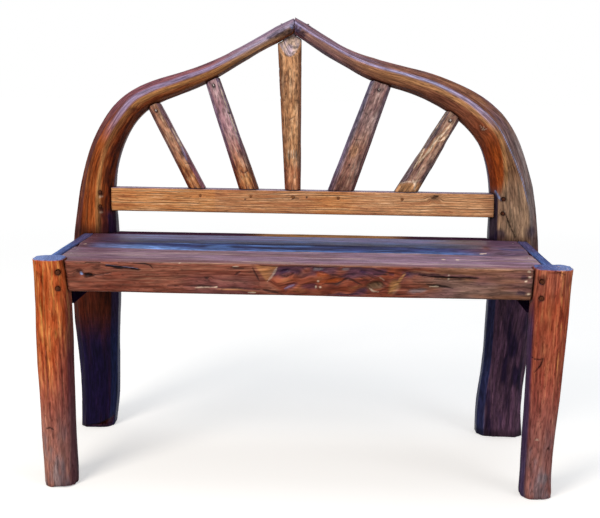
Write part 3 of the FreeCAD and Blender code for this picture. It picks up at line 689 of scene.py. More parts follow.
def carve_right_post(wood):
    height, edge = wood.height, wood.edge
    ridge = np.interp(height, (565, 610, 690, 760), (-0.55, -0.30, 0.03, -0.22))
    crest = np.interp(height, (540, 608, 670, 710, 800), (0.64, 0.48, 0.34, 0.30, 0.42))
    high, foot, arch, inner, outer = carve_crook(wood, ridge, crest, 1)
    front = wood.front * high
    trunk = (1 - arch) * front
    streaks = wood.streaks((120, 9, 9), 18)
    wood.coats(
        # Painted shade in navy on the inner side above the seat.
        ("navy", 0.75 * ramp(-wood.right, 0.35, 0.8) * high * (1 - arch)), ("olive", 0.65 * trunk),
        ("bone", 0.20 * trunk * ramp(height, 640, 560)),
        ("umber", 0.32 * trunk * wood.streaks((50, 26, 26), 19)))
    tongue = inner * ramp(height, 560, 600)
    wood.coats(
        ("ember", 0.92 * tongue * front * ramp(height, 790, 730)),
        ("rust", 0.82 * tongue * trunk * ramp(edge + 0.4 * streaks, ridge + 0.1, ridge - 0.4)),
        ("gold", 0.55 * wood.band(ridge + 0.08, 0.14) * trunk * ramp(height, 560, 620)),
        ("ash", 0.70 * outer * (1 - arch) * high), ("umber", 0.45 * outer * (1 - arch) * high * streaks))
    # On the arch: brown top, a painted lilac sheen with painted pale highlights in it, an olive-gold face and
    # a dark underside with painted shade along its lower edge; more painted sheen near the peak, and a thin
    # painted highlight along the crest of the post up to the arch.
    wood.coats(
        ("umber", 0.60 * outer * arch), ("dusk", 0.35 * outer * arch * streaks),
        ("gold", 0.66 * wood.band(0.0, 0.30) * arch * (0.5 + 0.5 * streaks)), ("rust", 0.66 * inner * arch),
        ("gold", 0.40 * wood.band(-0.38, 0.42) * ramp(height, 790, 840) * (0.6 + 0.4 * streaks)),
        ("pitch", 0.45 * ramp(edge, -0.76, -0.98) * arch),
        ("lilac", 0.85 * wood.band(crest - 0.12, 0.18) * ramp(height, 700, 760)),
        ("ice", 0.45 * wood.band(crest - 0.10, 0.09) * ramp(height, 700, 760) * streaks),
        ("bone", 0.07 * wood.front * arch), ("lilac", 0.18 * ramp(height, 830, 890)),
        ("ice", 0.62 * wood.band(crest, 0.035) * ramp(height, 535, 560) * ramp(height, 780, 740)))
    wood.knot((396, 712), (10, 6), 0.8, 0.3)
    # Pale strokes round the knot, and a painted highlight in ice lower down.
    wood.strokes(
        *[("bone", 0.5, 1.2, (396, 710), place) for place in ((390, 722), (399, 723), (407, 716))],
        ("ice", 0.8, 3.0, (430, 575), (436, 563), (445, 552)))
    wood.cracks(
        (1.6, 1.5, 0.6, (447, 560), (449, 540), (453, 524)),
        (2.0, 3.5, 1, (455, 522), (464, 500), (480, 468)),
        (1.4, 1.0, 0.3, (453, 622), (462, 632), (472, 640)))
    for place in ((447, 556), (452, 527)):
        wood.hole(place, 4)
        wood.paint("bone", 0.5 * wood.patch((place[0] + 1, place[1] + 1), (3, 3)))
    wood.coats(
        ("indigo", 0.75 * wood.patch((444, 474), (16, 15)) * high),
        ("indigo", 0.75 * wood.patch((512, 482), (17, 24)) * high),
        ("shade", 0.6 * ramp(wood.z, 480, 465) * trunk),
        # Painted shade in indigo on the inner side.
        ("indigo", 0.85 * ramp(-wood.right, 0.30, 0.6) * high * ramp(height, 600, 560)))
    # Below the seat: dark stain and painted shade, with painted shade in navy on the inner side.
    patches = wood.streaks((60, 14, 14), 20, 0.0, 0.6)
    wood.coats(
        ("shade", 0.85 * foot), ("mauve", 0.62 * foot * (1 - patches) * streaks),
        ("dusk", 0.22 * foot * ramp(height, 420, 360)), ("indigo", 0.80 * foot * patches),
        ("lilac", 0.35 * wood.band(-0.76, 0.06) * wood.front * foot),
        ("navy", 0.85 * foot * ramp(-wood.right, 0.3, 0.7)), ("pitch", 0.6 * ramp(wood.z, 26, 6)))
    carve_peak(wood)


def carve_peak(wood):
    """Crumbly dark filler round the joint at the peak."""
    crumbs = np.maximum(
        wood.line([(-90, 905), (-62, 917), (-34, 922), (-6, 911)], 9, blunt=0.2),
        wood.patch((peak_x_mm, 918), (30, 9)),
    )
    wood.push += 1.6 * crumbs * wood.specks((6, 6, 6), 14, -0.2, 0.5)
    wood.coats(("indigo", 0.65 * crumbs), ("pitch", 0.6 * crumbs * wood.specks((5, 5, 5), 13, 0.0, 0.4)))
    upper = wood.patch((-24, 931), (17, 10))
    wood.coats(
        ("dusk", 0.55 * upper), ("pitch", 0.75 * upper * wood.specks((5, 5, 5), 53, -0.1, 0.4)),
        ("ice", 0.55 * upper * wood.specks((5, 5, 5), 54, 0.1, 0.5)))


LOG_HALF_WIDTH, LOG_HALF_DEPTH = 35.0, 34.0


def round_log(wood, share):
    """Bring a squared log's corners in to an oval section, as far as the share from 0 to 1."""
    wide, deep = wood.across, wood.deep
    reach = np.hypot(wide / LOG_HALF_WIDTH, deep / LOG_HALF_DEPTH)
    closer = (1 / np.maximum(reach, 1) - 1) * share
    wood.x += wide * closer
    wood.y += deep * closer


def carve_leg(wood, side):
    round_log(wood, ramp(wood.z, 430, 60))
    x, z = wood.x, wood.z
    wood.hew((90, 22, 22), 0.9, 17)
    wood.push += 0.7 * wood.streaks((120, 7, 7), 18)
    # The stain has worn thin towards the foot, and dirt from the ground has greyed it.
    wood.coats(
        ("dusk", 0.16 * ramp(z, 330, 40)), ("ash", 0.20 * ramp(z, 280, 60)),
        ("bone", 0.14 * ramp(z, 260, 60)),
        ("ash", 0.75 * ramp(z, 200, 20) * wood.streaks((40, 12, 12), 24)))
    foot = ramp(z, 14, 2)
    wood.push += 1.5 * foot * wood.specks((16, 16, 16), 19, -0.3, 0.7)
    # Painted shade in indigo on the inner side below the seat; darker at the very bottom, and plum on the
    # rear.
    wood.coats(
        ("shade", 0.4 * ramp(z, 10, 2)),
        ("indigo", 0.60 * ramp(-side * wood.right, 0.6, 0.9) * ramp(z, 430, 350)),
        ("plum", 0.5 * ramp(wood.rear, 0.3, 0.8)))
    # The top: painted sky reflection in slate, with a painted highlight in ice toward the outer side and
    # round the rim.
    rim = ramp(np.abs(x - x.mean()), 24, 36)
    wood.coats(
        ("slate", 0.97 * wood.top),
        ("ice", 0.44 * wood.top * np.maximum(ramp(side * (x - x.mean()), 0, 34), 0.5 * rim)))
    for height in (441, 408):
        wood.hole((side * 469, height), 4.5, 0.4)


def carve_left_leg(wood):
    carve_leg(wood, -1)
    x, z = wood.x, wood.z
    wood.coats(
        ("ember", 0.36 * wood.sides * ramp(x, -478, -500) * ramp(z, 120, 260)
         * wood.streaks((90, 8, 8), 25)),
        ("gold", 0.50 * wood.sides * ramp(z, 180, 300) * wood.streaks((60, 4, 4), 26, 0.1, 0.6)))
    thin = wood.streaks((70, 3, 3), 46, 0.15, 0.55)
    wood.coats(
        ("honey", 0.72 * wood.sides * ramp(z, 150, 300) * ramp(x, -460, -476) * thin),
        ("rust", 0.50 * wood.sides * ramp(z, 100, 300) * wood.streaks((60, 3, 3), 47, 0.3, 0.7)),
        ("plum", 0.45 * ramp(x, -484, -462) * ramp(z, 360, 250)))
    wood.cracks(
        (1.8, 2, 0.8, (-502, 122), (-492, 125), (-482, 120)),
        (1.3, 2, 0.5, (-498, 320), (-494, 220), (-491, 140)),
        (1.2, 2, 0.5, (-470, 330), (-466, 250), (-462, 150)))
    # Darker where the leg meets the slab, and more painted sky reflection on the top.
    wood.coats(("shade", 0.55 * ramp(x, -470, -460) * ramp(z, 448, 462)), ("ice", 0.25 * wood.top))


def carve_right_leg(wood):
    carve_leg(wood, 1)
    x, z = wood.x, wood.z
    wood.coats(
        ("rust", 0.66 * ramp(x, 484, 462) * ramp(z, 60, 120) * wood.streaks((70, 10, 10), 27, -0.4, 0.4)),
        ("mauve", (0.08 + 0.16 * ramp(z, 460, 300)) * wood.sides),
        ("umber", 0.34 * wood.sides * wood.streaks((80, 5, 5), 38, 0.0, 0.6)),
        ("ash", 0.14 * wood.sides * ramp(z, 380, 440)),
        ("honey", 0.50 * ramp(x, 485, 500) * ramp(z, 150, 300) * wood.streaks((70, 3, 3), 48, 0.25, 0.65)),
        # Painted shade in navy on the inner side below the seat.
        ("navy", 0.65 * ramp(-wood.right, 0.75, 0.95) * ramp(z, 430, 330)))
    wood.cracks(
        (1.8, 2.5, 0.85, (455, 291), (466, 286), (479, 289), (475, 275), (463, 260)),
        (1.6, 2, 0.7, (492, 463), (503, 460), (516, 455)), (1.3, 2, 0.6, (500, 458), (508, 452)),
        (1.1, 2, 0.45, (508, 430), (510, 350), (505, 250)))
    wood.hole((498, 107), 2.5)
    wood.spots(
        ("shade", 0.5, (470, 448), (11, 7)), ("umber", 0.6, (492, 460), (13, 3)),
        ("bone", 0.5, (475, 125), (5, 2)), ("ash", 0.5, (492, 45), (14, 12)))


# Where the front slab's face has cracks and knots, and how far each reaches
slab_details = [
    ((x, slab_front_mm, z), reach) for x, z, reach in (
        (-412, 436, 30), (-342, 450, 42), (-340, 460, 60), (-181, 433, 12), (-190, 413, 46), (-62, 440, 36),
        (300, 444, 62), (272, 424, 46), (163, 430, 50), (445, 436, 30), (-100, 410, 60), (20, 435, 60),
        (110, 435, 50), (-120, 450, 20))]


def carve_front_slab(wood):
    x, y, z = wood.places.T
    front, top = wood.front, wood.top
    wood.push += 0.6 * wood.streaks((150, 10, 10), 21)
    streaks = wood.streaks((150, 6, 6), 28)
    # Planed top: mauve and lilac as painted sky reflection, with brown streaks, paler along the front arris
    # as a painted highlight in gold, and painted sky reflection in blue toward the joint at the rear.
    wood.coats(
        ("mauve", 0.35), ("lilac", 0.38 * ramp(y, -216, -160)),
        ("bone", 0.25 * wood.streaks((140, 14, 14), 36, 0.0, 0.5)),
        ("umber", 0.60 * wood.streaks((130, 11, 11), 29, 0.0, 0.6)),
        ("plum", 0.70 * wood.streaks((110, 6, 6), 39, 0.2, 0.7)),
        ("gold", 0.40 * ramp(y, -200, -213) * (0.3 + 0.7 * streaks)),
        ("plum", 0.50 * ramp(y, -70, -25) * ramp(x, -470, -420) * streaks),
        ("plum", 0.45 * ramp(x, -360, -450)), ("plum", 0.26 * ramp(x, -190, -270)),
        ("sky", 0.74 * ramp(y, -42, -22) * ramp(x, -455, -400) * ramp(x, 300, 120) * (0.3 + 0.7 * streaks)),
        where=top)
    wood.crack([(-141, -121), (-122, -123)], 2.0, 1.0, 0.6, TOP)
    wood.crack([(-228, -135), (-216, -135)], 1.5, 1.0, 0.6, TOP)
    # Painted glints on the top.
    for place in ((291, -110), (319, -113)):
        wood.paint("bone", wood.patch(place, (5, 7), view=TOP))
    wood.paint("bone", 0.9 * wood.patch((-233, -211), (3, 3), view=TOP))
    # Sawn front, with a purple shade at both ends and a warm upper edge on the right.
    wood.coats(
        ("plum", 0.65 * front * ramp(np.abs(x), 452, 478)),
        ("plum", 0.40 * front * ramp(x, -260, -180) * ramp(x, -60, -110) * ramp(z, 450, 425)))
    right_end = front * ramp(x, 200, 300)
    wood.coats(
        ("olive", 0.40 * right_end), ("ash", 0.26 * right_end * wood.streaks((90, 14, 14), 49, -0.2, 0.4)),
        ("mauve", 0.34 * right_end * wood.streaks((120, 22, 22), 50, -0.1, 0.5)),
        ("gold", 0.35 * front * ramp(z, 448, 458) * ramp(x, 180, 260) * streaks))
    # The middle was hewn across a curl in the grain: fresh red wood, with painted shade in plum and indigo in
    # its hollows and painted light in ember and gold on its ridges.
    wild = ramp(x + 0.9 * (z - 430), -66, -44) * ramp(x - 0.75 * (z - 430), 206, 186) * front
    slanting = wood.places @ np.array([[0.96, 0, -0.27], [0, 1, 0], [0.27, 0, 0.96]])
    relief = rough_noise(slanting, (46, 60, 21), 22, 2)
    folds = noise(slanting, (20, 30, 10), 30)
    wood.push += wild * (3.0 + 5.0 * relief + 2.0 * folds)
    wood.bend += wild * (12 * noise(slanting, (60, 60, 26), 23) + 4 * noise(slanting, (24, 30, 12), 24))
    wood.coats(
        ("umber", 0.45 * ramp(folds, 0.1, -0.5)), ("ember", 0.46 * ramp(relief, 0.25, -0.35)),
        ("gold", 0.34 * ramp(relief + 0.4 * folds, -0.35, -0.8)), ("rust", 0.70 * ramp(folds, 0.0, 0.6)),
        ("plum", 0.85 * ramp(relief, -0.08, 0.28)),
        ("indigo", 0.66 * ramp(relief + 0.3 * folds, 0.22, 0.6)), ("plum", 0.16), where=wild)
    # Scoops pushed in, each painted its tone; the plum and indigo ones are painted shade.
    for tone, *hollow in (
        ("plum", (-24, 447), (22, 9), 22), ("indigo", (-26, 449), (12, 6), 22),
        ("plum", (-14, 420), (15, 6), 25), ("indigo", (22, 420), (20, 7), 5),
        ("ember", (46, 444), (20, 6), -14), ("ember", (70, 432), (26, 6), 6), ("ash", (38, 455), (12, 4), 8),
        ("ash", (90, 456), (10, 4), 10), ("indigo", (126, 450), (10, 4), -12),
        ("umber", (151, 424), (23, 12), 8), ("olive", (151, 424), (19, 9), 8),
        ("rust", (86, 415), (26, 7), 6), ("plum", (214, 447), (14, 9), -10),
        ("indigo", (214, 447), (7, 5), -10), ("indigo", (180, 447), (7, 4), 0),
        ("gold", (186, 424), (12, 18), -35), ("ash", (232, 416), (24, 6), 10),
    ):
        share = wood.patch(*hollow)
        wood.push += 2.5 * share
        wood.paint(tone, 0.62 * share)
    wood.cracks(
        (2.2, 1.6, 0.7, (26, 459), (40, 461)),
        (2.2, 1.6, 0.8, (45, 425), (76, 426), (97, 438), (126, 424)),
        (1.8, 1.6, 0.7, (-38, 441), (-24, 438), (-8, 446)), (1.6, 1.6, 0.6, (-28, 412), (-7, 421)),
        (1.6, 1.6, 0.6, (60, 446), (84, 440), (100, 446)),
        (1.6, 1.6, 0.6, (136, 416), (152, 411), (172, 418)), (2.2, 1.6, 0.8, (144, 446), (174, 446)),
        (2.6, 1.6, 0.8, (-71, 412), (-61, 410), (-48, 408), (-28, 402)),
        (1.4, 1.6, 0.5, (120, 440), (138, 434), (146, 440)))
    wood.strokes(
        ("bone", 0.50, 1.5, (157, 442), (163, 438), (168, 434)),
        ("gold", 0.60, 3.2, (209, 452), (194, 431), (175, 408)),
        ("lilac", 0.40, 1.6, (-28, 414), (-7, 423)),
        ("bone", 0.55, 1.6, (138, 418), (146, 413), (158, 412)))
    # Painted glints.
    for place in ((38, 431), (34, 419), (43, 419), (-161, 415), (292, 440), (292, 448)):
        wood.paint("bone", 0.9 * wood.patch(place, (2.6, 2.2)))
    # A pale chip like a triangle, where a splinter left the left end of the hewn part.
    triangle = ramp(z - 427 - 1.35 * np.abs(x + 63), -2, 6) * ramp(z, 463, 456) * front
    wood.push += 0.8 * triangle
    wood.paint("gold", 0.45 * triangle)
    wood.paint("bone", 0.30 * wood.line([(-42, 458), (-50, 442), (-62, 427)], 2.6))
    wood.crack([(-91, 457), (-84, 443), (-76, 427)], 2.0, 1.8, share=0.7)
    # Knot and drying cracks, from left to right.
    wood.knot((-413, 433), (10, 5), 6.0)
    wood.knot((-430, 443), (7, 5), 1.5, 0.6)
    wood.crack([(-440, 442), (-424, 436), (-404, 434), (-366, 440)], 1.8, 2, share=0.7)
    # A painted highlight beside the knot.
    wood.paint("ice", 0.9 * wood.patch((-427, 438), (4.5, 3), -30))
    wood.knot((-396, 450), (8, 6), 0.5, 0.4)
    wood.crack([(-380, 453.5), (-355, 450.5), (-337, 449.5), (-309, 446)], 2.5, 5, lip_highlight=0.6)
    wood.cracks(
        (1.6, 2, 1, (-420, 459.5), (-388, 460)), (1.3, 2, 0.7, (-354, 459.5), (-330, 460)),
        (1.7, 2, 0.9, (-330, 459.5), (-305, 459.5), (-291, 456), (-285, 449)))
    wood.knot((-180, 433), (6, 4), 1.5, 0.7)
    wood.cracks((1.4, 1.5, 0.6, (-258, 416), (-228, 417)), (1.8, 1.5, 0.7, (-228, 416), (-154, 418)))
    wood.paint("bone", 0.55 * wood.line([(-205, 413.5), (-183, 414.5), (-156, 415.5)], 1.1))
    wood.crack([(-165, 414), (-115, 414.5), (-71, 411)], 1.7, 2, share=0.75)
    wood.paint("gold", 0.50 * wood.line([(-165, 411), (-115, 411), (-75, 407)], 1.5))
    wood.paint("bone", wood.line([(-99, 406), (-83, 406)], 1.3, blunt=0.3))
    wood.paint("bone", 0.9 * wood.line([(-130, 457), (-114, 457.5)], 1.1))
    wood.cracks((1.7, 1.5, 0.7, (-134, 454), (-105, 453)), (1.8, 1.5, 0.6, (-125, 440), (-113, 447)))
    wood.paint("plum", 0.6 * wood.line([(206, 450), (250, 447), (310, 446), (352, 444)], 5.0))
    wood.cracks(
        (2.2, 5, 0.9, (232, 447), (258, 444.5), (300, 442.5), (354, 443)),
        (1.4, 2, 0.7, (216, 451), (244, 449), (276, 448)),
        (1.3, 2, 0.7, (262, 439), (296, 438.5), (326, 439)),
        (2.0, 3.5, 0.85, (248, 429), (270, 427), (304, 421)),
        (1.3, 2, 0.6, (222, 433), (244, 432), (262, 432)))
    wood.strokes(
        ("bone", 0.95, 1.2, (254, 425), (274, 425)), ("rust", 0.6, 4.0, (186, 456), (236, 459), (268, 455)))
    wood.crack([(392, 413), (425, 412)], 1.6, 1.5, share=0.6)
    wood.spots(("indigo", 0.7, (432, 415), (12, 5)), ("indigo", 0.6, (438, 446), (9, 6)))
    # Painted glints near the right end.
    for place in ((447, 458), (449, 447), (441, 439), (448, 414)):
        wood.paint("bone", wood.patch(place, (3.6, 2.6)))


def carve_rear_slab(wood):
    x, y, z = wood.places.T
    top = wood.top
    wood.push += 0.6 * wood.streaks((150, 12, 12), 31)
    drift = 5 * noise(wood.places, (120, 60, 60), 32)
    waves = noise(np.stack([x, y + drift, z], axis=1), (170, 10, 400), 33)
    fine = noise(np.stack([x, y + drift, z], axis=1), (90, 5, 400), 35)
    middle = ramp(x, -470, -400) * ramp(x, 360, 240)
    # The top: plum, under dusk and sky streaks that are painted sky reflection, with navy and near-black
    # streaks between them.
    wood.coats(
        ("plum", 0.70), ("dusk", 0.82 * middle), ("ash", 0.22 * ramp(waves, -0.2, 0.6)),
        ("sky", 0.55 * middle * ramp(waves, 0.1, 0.6)), ("navy", 0.55 * middle * ramp(waves, -0.2, -0.6)),
        ("pitch", 0.50 * ramp(fine, 0.3, 0.7)), where=top)
    # The valley is deep blue as painted shade, with thin pale streaks, and brightest along the joint; the
    # pale streaks and the band along the joint are painted sky reflection in sky and ice.
    deepest = ramp(x, -470, -415) * ramp(x, 430, 300)
    wood.coats(
        ("navy", 0.88 * ramp(y, 112 + 30 * waves, 72)),
        ("pitch", 0.62 * ramp(np.abs(y - 52 - 14 * waves) / 26, 1.0, 0.3)),
        ("sky", 0.40 * ramp(fine, -0.35, -0.75) * ramp(y, 120, 80)),
        ("sky", 0.95 * ramp(y, 30 + 10 * waves, 6) * ramp(x, 330, -60)),
        ("ice", 0.40 * ramp(y, 20 + 8 * waves, 2) * ramp(x, 200, -100)),
        ("sky", 0.60 * ramp(y, 26 + 10 * waves, 2) * ramp(x, -60, 120)), where=top * deepest)
    wood.coats(
        ("navy", 0.75 * wood.line([(424, 42), (452, 34), (478, 30)], 13, TOP, 0.2)),
        ("plum", 0.62 * top * ramp(x, -340, -430)),
        ("dusk", 0.28 * top * (ramp(y, 105, 135) * middle + ramp(x, 380, 440))),
        ("rust", 0.6 * wood.patch((399, 50), (12, 30), view=TOP)),
        # Painted glints.
        ("bone", 0.9 * wood.line([(380, 9), (394, 10)], 2.0, TOP)),
        ("bone", 0.7 * wood.patch((-469, 9), (3, 3), view=TOP)), ("shade", 0.5 * ramp(wood.rear, 0.5, 0.9)))


def carve_back_rail(wood):
    x, z = wood.x, wood.z
    wood.push += 0.35 * wood.streaks((120, 8, 8), 51)
    # Slate on the top is painted sky reflection; the underside and rear are darker.
    wood.coats(
        ("slate", 0.70 * wood.top), ("umber", 0.55 * ramp(wood.up, -0.5, -0.95)),
        ("umber", 0.45 * ramp(wood.rear, 0.3, 0.8)),
        ("ash", 0.14 * wood.front * ramp(x, -212, -200) * ramp(x, 60, -20)),
        ("bone", 0.16 * wood.front * ramp(x, 60, 160)), ("rust", 0.40 * wood.front * ramp(x, 395, 425)),
        ("rust", 0.30 * wood.front * ramp(z, 520, 513)))
    for place, size in (((-26, 551), 3.2), ((4, 552), 3.0), ((-137, 545), 2.2)):
        wood.paint("pitch", 0.9 * wood.patch(place, (size, size)))
    wood.crack([(-34, 545), (-26, 549), (-14, 548)], 1.5, 1.5, share=0.6)
    wood.knot((295, 556), (11, 6), 0.8, 0.25)
    wood.cracks(
        (1.3, 1.0, 0.6, (284, 560), (300, 552)), (1.3, 1.0, 0.6, (286, 553), (306, 559)),
        (1.3, 1.0, 0.6, (290, 563), (304, 556)), (1.2, 1.0, 0.5, (-300, 549), (-262, 546)),
        (1.2, 1.0, 0.5, (-200, 541), (-150, 539)))


def carve_spindle(wood, left, right):
    """Left and right are the tones of the two narrow facets, worn along their edges."""
    wood.hew((60, 16, 16), 0.7, 61)
    wood.push += 0.35 * wood.streaks((60, 6, 6), 51)
    wood.paint("umber", 0.5 * ramp(wood.rear, 0.2, 0.7))
    seen = ramp(-wood.rear, -0.3, 0.0)
    wood.paint(left, 0.8 * ramp(-wood.right, 0.30, 0.6) * seen)
    wood.paint(right, 0.8 * ramp(wood.right, 0.30, 0.6) * seen)
    wood.paint(left, 0.5 * ramp(wood.edge, -0.66, -0.84) * seen)
    wood.paint(right, 0.5 * ramp(wood.edge, 0.66, 0.84) * seen)
    worn = wood.streaks((60, 6, 9), 62, 0.2, 0.7) * ramp(-wood.rear, 0.5, 0.9)
    wood.coats(("bone", 0.35 * worn), ("shade", 0.40 * wood.streaks((45, 6, 9), 66, 0.3, 0.8)))


def carve_outer_left(wood):
    carve_spindle(wood, "rust", "mauve")
    wood.paint("ash", 0.30 * wood.front * ramp(wood.height, 610, 660))
    wood.cracks(
        (2.6, 2.0, 1, (-318, 730), (-306, 716), (-300, 700)),
        (2.0, 2.0, 0.7, (-330, 742), (-322, 722), (-312, 704)))
    wood.strokes(
        ("bone", 0.7, 2.2, (-306, 706), (-290, 676), (-276, 648)),
        ("bone", 0.5, 1.6, (-297, 704), (-282, 672)), ("lilac", 0.6, 2.2, (-284, 664), (-270, 630)))
    wood.crack([(-276, 624), (-262, 624)], 1.4, 1.2, share=0.6)
    wood.paint("rust", 0.55 * wood.patch((-270, 602), (10, 12)))


def carve_inner_left(wood):
    carve_spindle(wood, "rust", "umber")
    wood.coats(
        ("lilac", 0.44 * wood.front * ramp(wood.height, 600, 720)),
        ("bone", 0.75 * wood.line([(-199, 809), (-184, 766), (-167, 721), (-151, 672)], 1.8, blunt=0.2)))
    wood.cracks(
        (1.6, 2.0, 0.8, (-178, 742), (-170, 738)), (1.7, 1.2, 0.6, (-150, 612), (-140, 604), (-130, 611)))
    wood.paint("gold", 0.4 * wood.patch((-132, 590), (12, 14)))


def carve_centre_spindle(wood):
    carve_spindle(wood, "rust", "rust")
    height = wood.z
    face = ramp(-wood.rear, 0.5, 0.9)
    wood.coats(
        ("gold", 0.45 * face * ramp(height, 600, 650)), ("ember", 0.40 * face * ramp(height, 632, 612)),
        ("bone", 0.10 * face))
    pits = wood.specks((3.5, 6, 7), 63, 0.35, 0.7) * ramp(height, 740, 780) * ramp(height, 866, 840)
    wood.push += 0.8 * pits
    wood.paint("shade", 0.6 * pits)
    wood.crack([(-40, 726), (-26, 734)], 1.4, 1.2, share=0.5)
    for place in (-39, -33, -28, -22):
        wood.paint("bone", 0.6 * wood.line([(place, 660), (place + 0.5, 638)], 1.6))
        wood.crack([(place + 2, 650), (place + 3, 632)], 1.2, 1.2, share=0.5)
    # The head was left bare above a cut shaped like a shallow bow.
    bow = 866 + 13 * (wood.across / 16) ** 2
    head = ramp(height - bow, 0, 5) * ramp(-wood.rear, 0.4, 0.8)
    wood.crack([(-54, 880), (-47, 870), (-39, 867), (-31, 870), (-24, 880)], 1.3, 0.8, share=0.4)
    wood.coats(
        ("bone", 0.88 * head), ("mauve", 0.26 * head),
        ("lilac", 0.50 * head * wood.streaks((20, 10, 10), 67)))


def carve_inner_right(wood):
    carve_spindle(wood, "dusk", "rust")
    z = wood.z
    wood.coats(
        ("olive", 0.40 * wood.front * ramp(z, 800, 700)), ("ash", 0.45 * wood.front * ramp(z, 660, 740)),
        ("dusk", 0.20 * wood.front))
    pits = wood.specks((7, 9, 6), 68, 0.1, 0.5) * wood.patch((143, 772), (16, 34), -22)
    wood.push += 1.6 * pits
    wood.paint("shade", 0.8 * pits)
    wood.crack([(109, 684), (126, 684)], 1.4, 1.2, share=0.7)
    wood.hole((99, 627), 1.8)
    wood.paint("gold", 0.35 * wood.patch((110, 660), (14, 20), -22))
    wood.paint("umber", 0.45 * wood.front * ramp(z, 612, 596))
    wood.crack([(130, 745), (140, 740)], 1.6, 1.2, share=0.5)


def carve_weathered_spindle(wood):
    """The outer right spindle is the most weathered: grey, furrowed and streaked with bare wood."""
    carve_spindle(wood, "plum", "rust")
    furrows = noise(wood.grain_places, (50, 5, 9), 64)
    wood.push += 1.3 * ramp(furrows, 0.0, 0.7)
    wood.coats(
        ("ash", 0.45 * wood.front), ("plum", 0.60 * ramp(furrows, 0.0, 0.6)),
        ("pitch", 0.45 * ramp(furrows, 0.4, 0.8)),
        ("bone", 0.55 * ramp(furrows, -0.35, -0.75) * wood.front))
    for path, half_width in (
        ([(328, 728), (311, 702), (292, 685), (278, 661), (250, 628)], 3.0),
        ([(322, 700), (306, 686), (296, 684)], 2.4), ([(268, 668), (258, 645), (244, 620)], 2.0),
    ):
        wood.coats(
            ("gold", 0.5 * wood.line(path, 2 * half_width)), ("bone", 0.85 * wood.line(path, half_width)))
    wood.paint("gold", 0.75 * wood.front * ramp(wood.z, 592, 584))
    wood.strokes(
        ("bone", 0.8, 3.0, (243, 597), (250, 586), (248, 572)),
        ("bone", 0.6, 1.8, (214, 586), (232, 592), (248, 590), (265, 598)))


def carve_side_rail(wood):
    wood.push += 0.4 * wood.streaks((120, 10, 10), 71)
    wood.paint("shade", 0.6 * wood.sides)
    rearmost = ramp(wood.y, -25, 45)
    inner_rim = ramp(np.abs(wood.x), 490, 484)
    # The top: plum under slate and sky, which are painted sky reflection, plum and dusk again toward the
    # rear, and dark along its inner rim.
    wood.coats(
        ("plum", 0.70), ("slate", 0.75), ("sky", 0.60 * wood.streaks((120, 8, 8), 73, -0.5, 0.2)),
        ("plum", 0.85 * rearmost), ("dusk", 0.40 * rearmost * wood.streaks((90, 8, 8), 74)),
        ("slate", 0.26), ("indigo", 0.75 * inner_rim * ramp(wood.y, 120, -60)), where=wood.top)


def carve_hidden_rail(wood):
    wood.push += 0.4 * wood.streaks((120, 10, 10), 72)
    # Painted shade: dark brown all over, and indigo on all but the rear faces.
    wood.coats(("shade", np.full(len(wood.places), 0.7)), ("indigo", 0.8 * ramp(-wood.rear, -0.6, -0.2)))


def carve_rear_rail(wood):
    carve_hidden_rail(wood)
    x = wood.x
    wood.coats(("plum", 0.6 * wood.top), ("gold", 0.75 * wood.top * ramp(x, -150, -60) * ramp(x, 260, 170)))


# Middle lines of the two crooks: x, z and width
left_crook = [
    (-482, -28, 81), (-479, 105, 86), (-485, 300, 106), (-484, 455, 99), (-477, 574, 76), (-454, 664, 68),
    (-403, 746, 61), (-354, 780, 55), (-293, 803, 50), (-227, 828, 44), (-172, 856, 37), (-30, 936, 34),
]
right_crook = [
    (464, -28, 105), (464, 107, 99), (480, 316, 107), (478, 474, 111), (466, 592, 94), (434, 688, 84),
    (403, 730, 81), (352, 769, 72), (288, 801, 63), (226, 821, 57), (122, 852, 47), (24, 904, 37),
    (-30, 936, 37),
]
posts = ("rear_post_left", "rear_post_right")
seat_top_nodes = ("seat_slab_front", "seat_slab_rear", "side_rail_left", "side_rail_right", "seat_nails")
for node, rows, outer_side, carve, pith in (
    ("rear_post_left", left_crook, -1, carve_left_post, (-6, -4)),
    ("rear_post_right", right_crook, 1, carve_right_post, (-5, 6)),
):
    wooden_piece(node, crook_grain(rows, outer_side), crook_wood, carve,
                 voxel_mm=2.4, pith=pith, clean_joints=posts)

wooden_piece("front_leg_left", straight_grain((-478, -199, 0), (-493, -199, 466), width=74),
             log_wood, carve_left_leg, voxel_mm=2.2, pith=(8, 10))
wooden_piece("front_leg_right", straight_grain((482, -199, 0), (496, -199, 466), width=74),
             log_wood, carve_right_leg, voxel_mm=2.2, pith=(-9, 8))
wooden_piece("seat_slab_front", straight_grain((-483, -114, 431), (483, -114, 431), width=200),
             slab_wood, carve_front_slab, voxel_mm=2.9, pith=(60, 40), softening=1,
             details=slab_details, clean_joints=seat_top_nodes)
wooden_piece("seat_slab_rear", straight_grain((-483, 74, 431), (483, 74, 431), width=178),
             slab_wood, carve_rear_slab, voxel_mm=2.9, pith=(70, -30), softening=1,
             clean_joints=seat_top_nodes)
wooden_piece("back_rail", straight_grain((-440, 190, 540), (420, 190, 540), width=54),
             bar_wood, carve_back_rail, voxel_mm=1.9, pith=(80, 30), softening=1,
             clean_joints=("spindle_foot_pegs",))
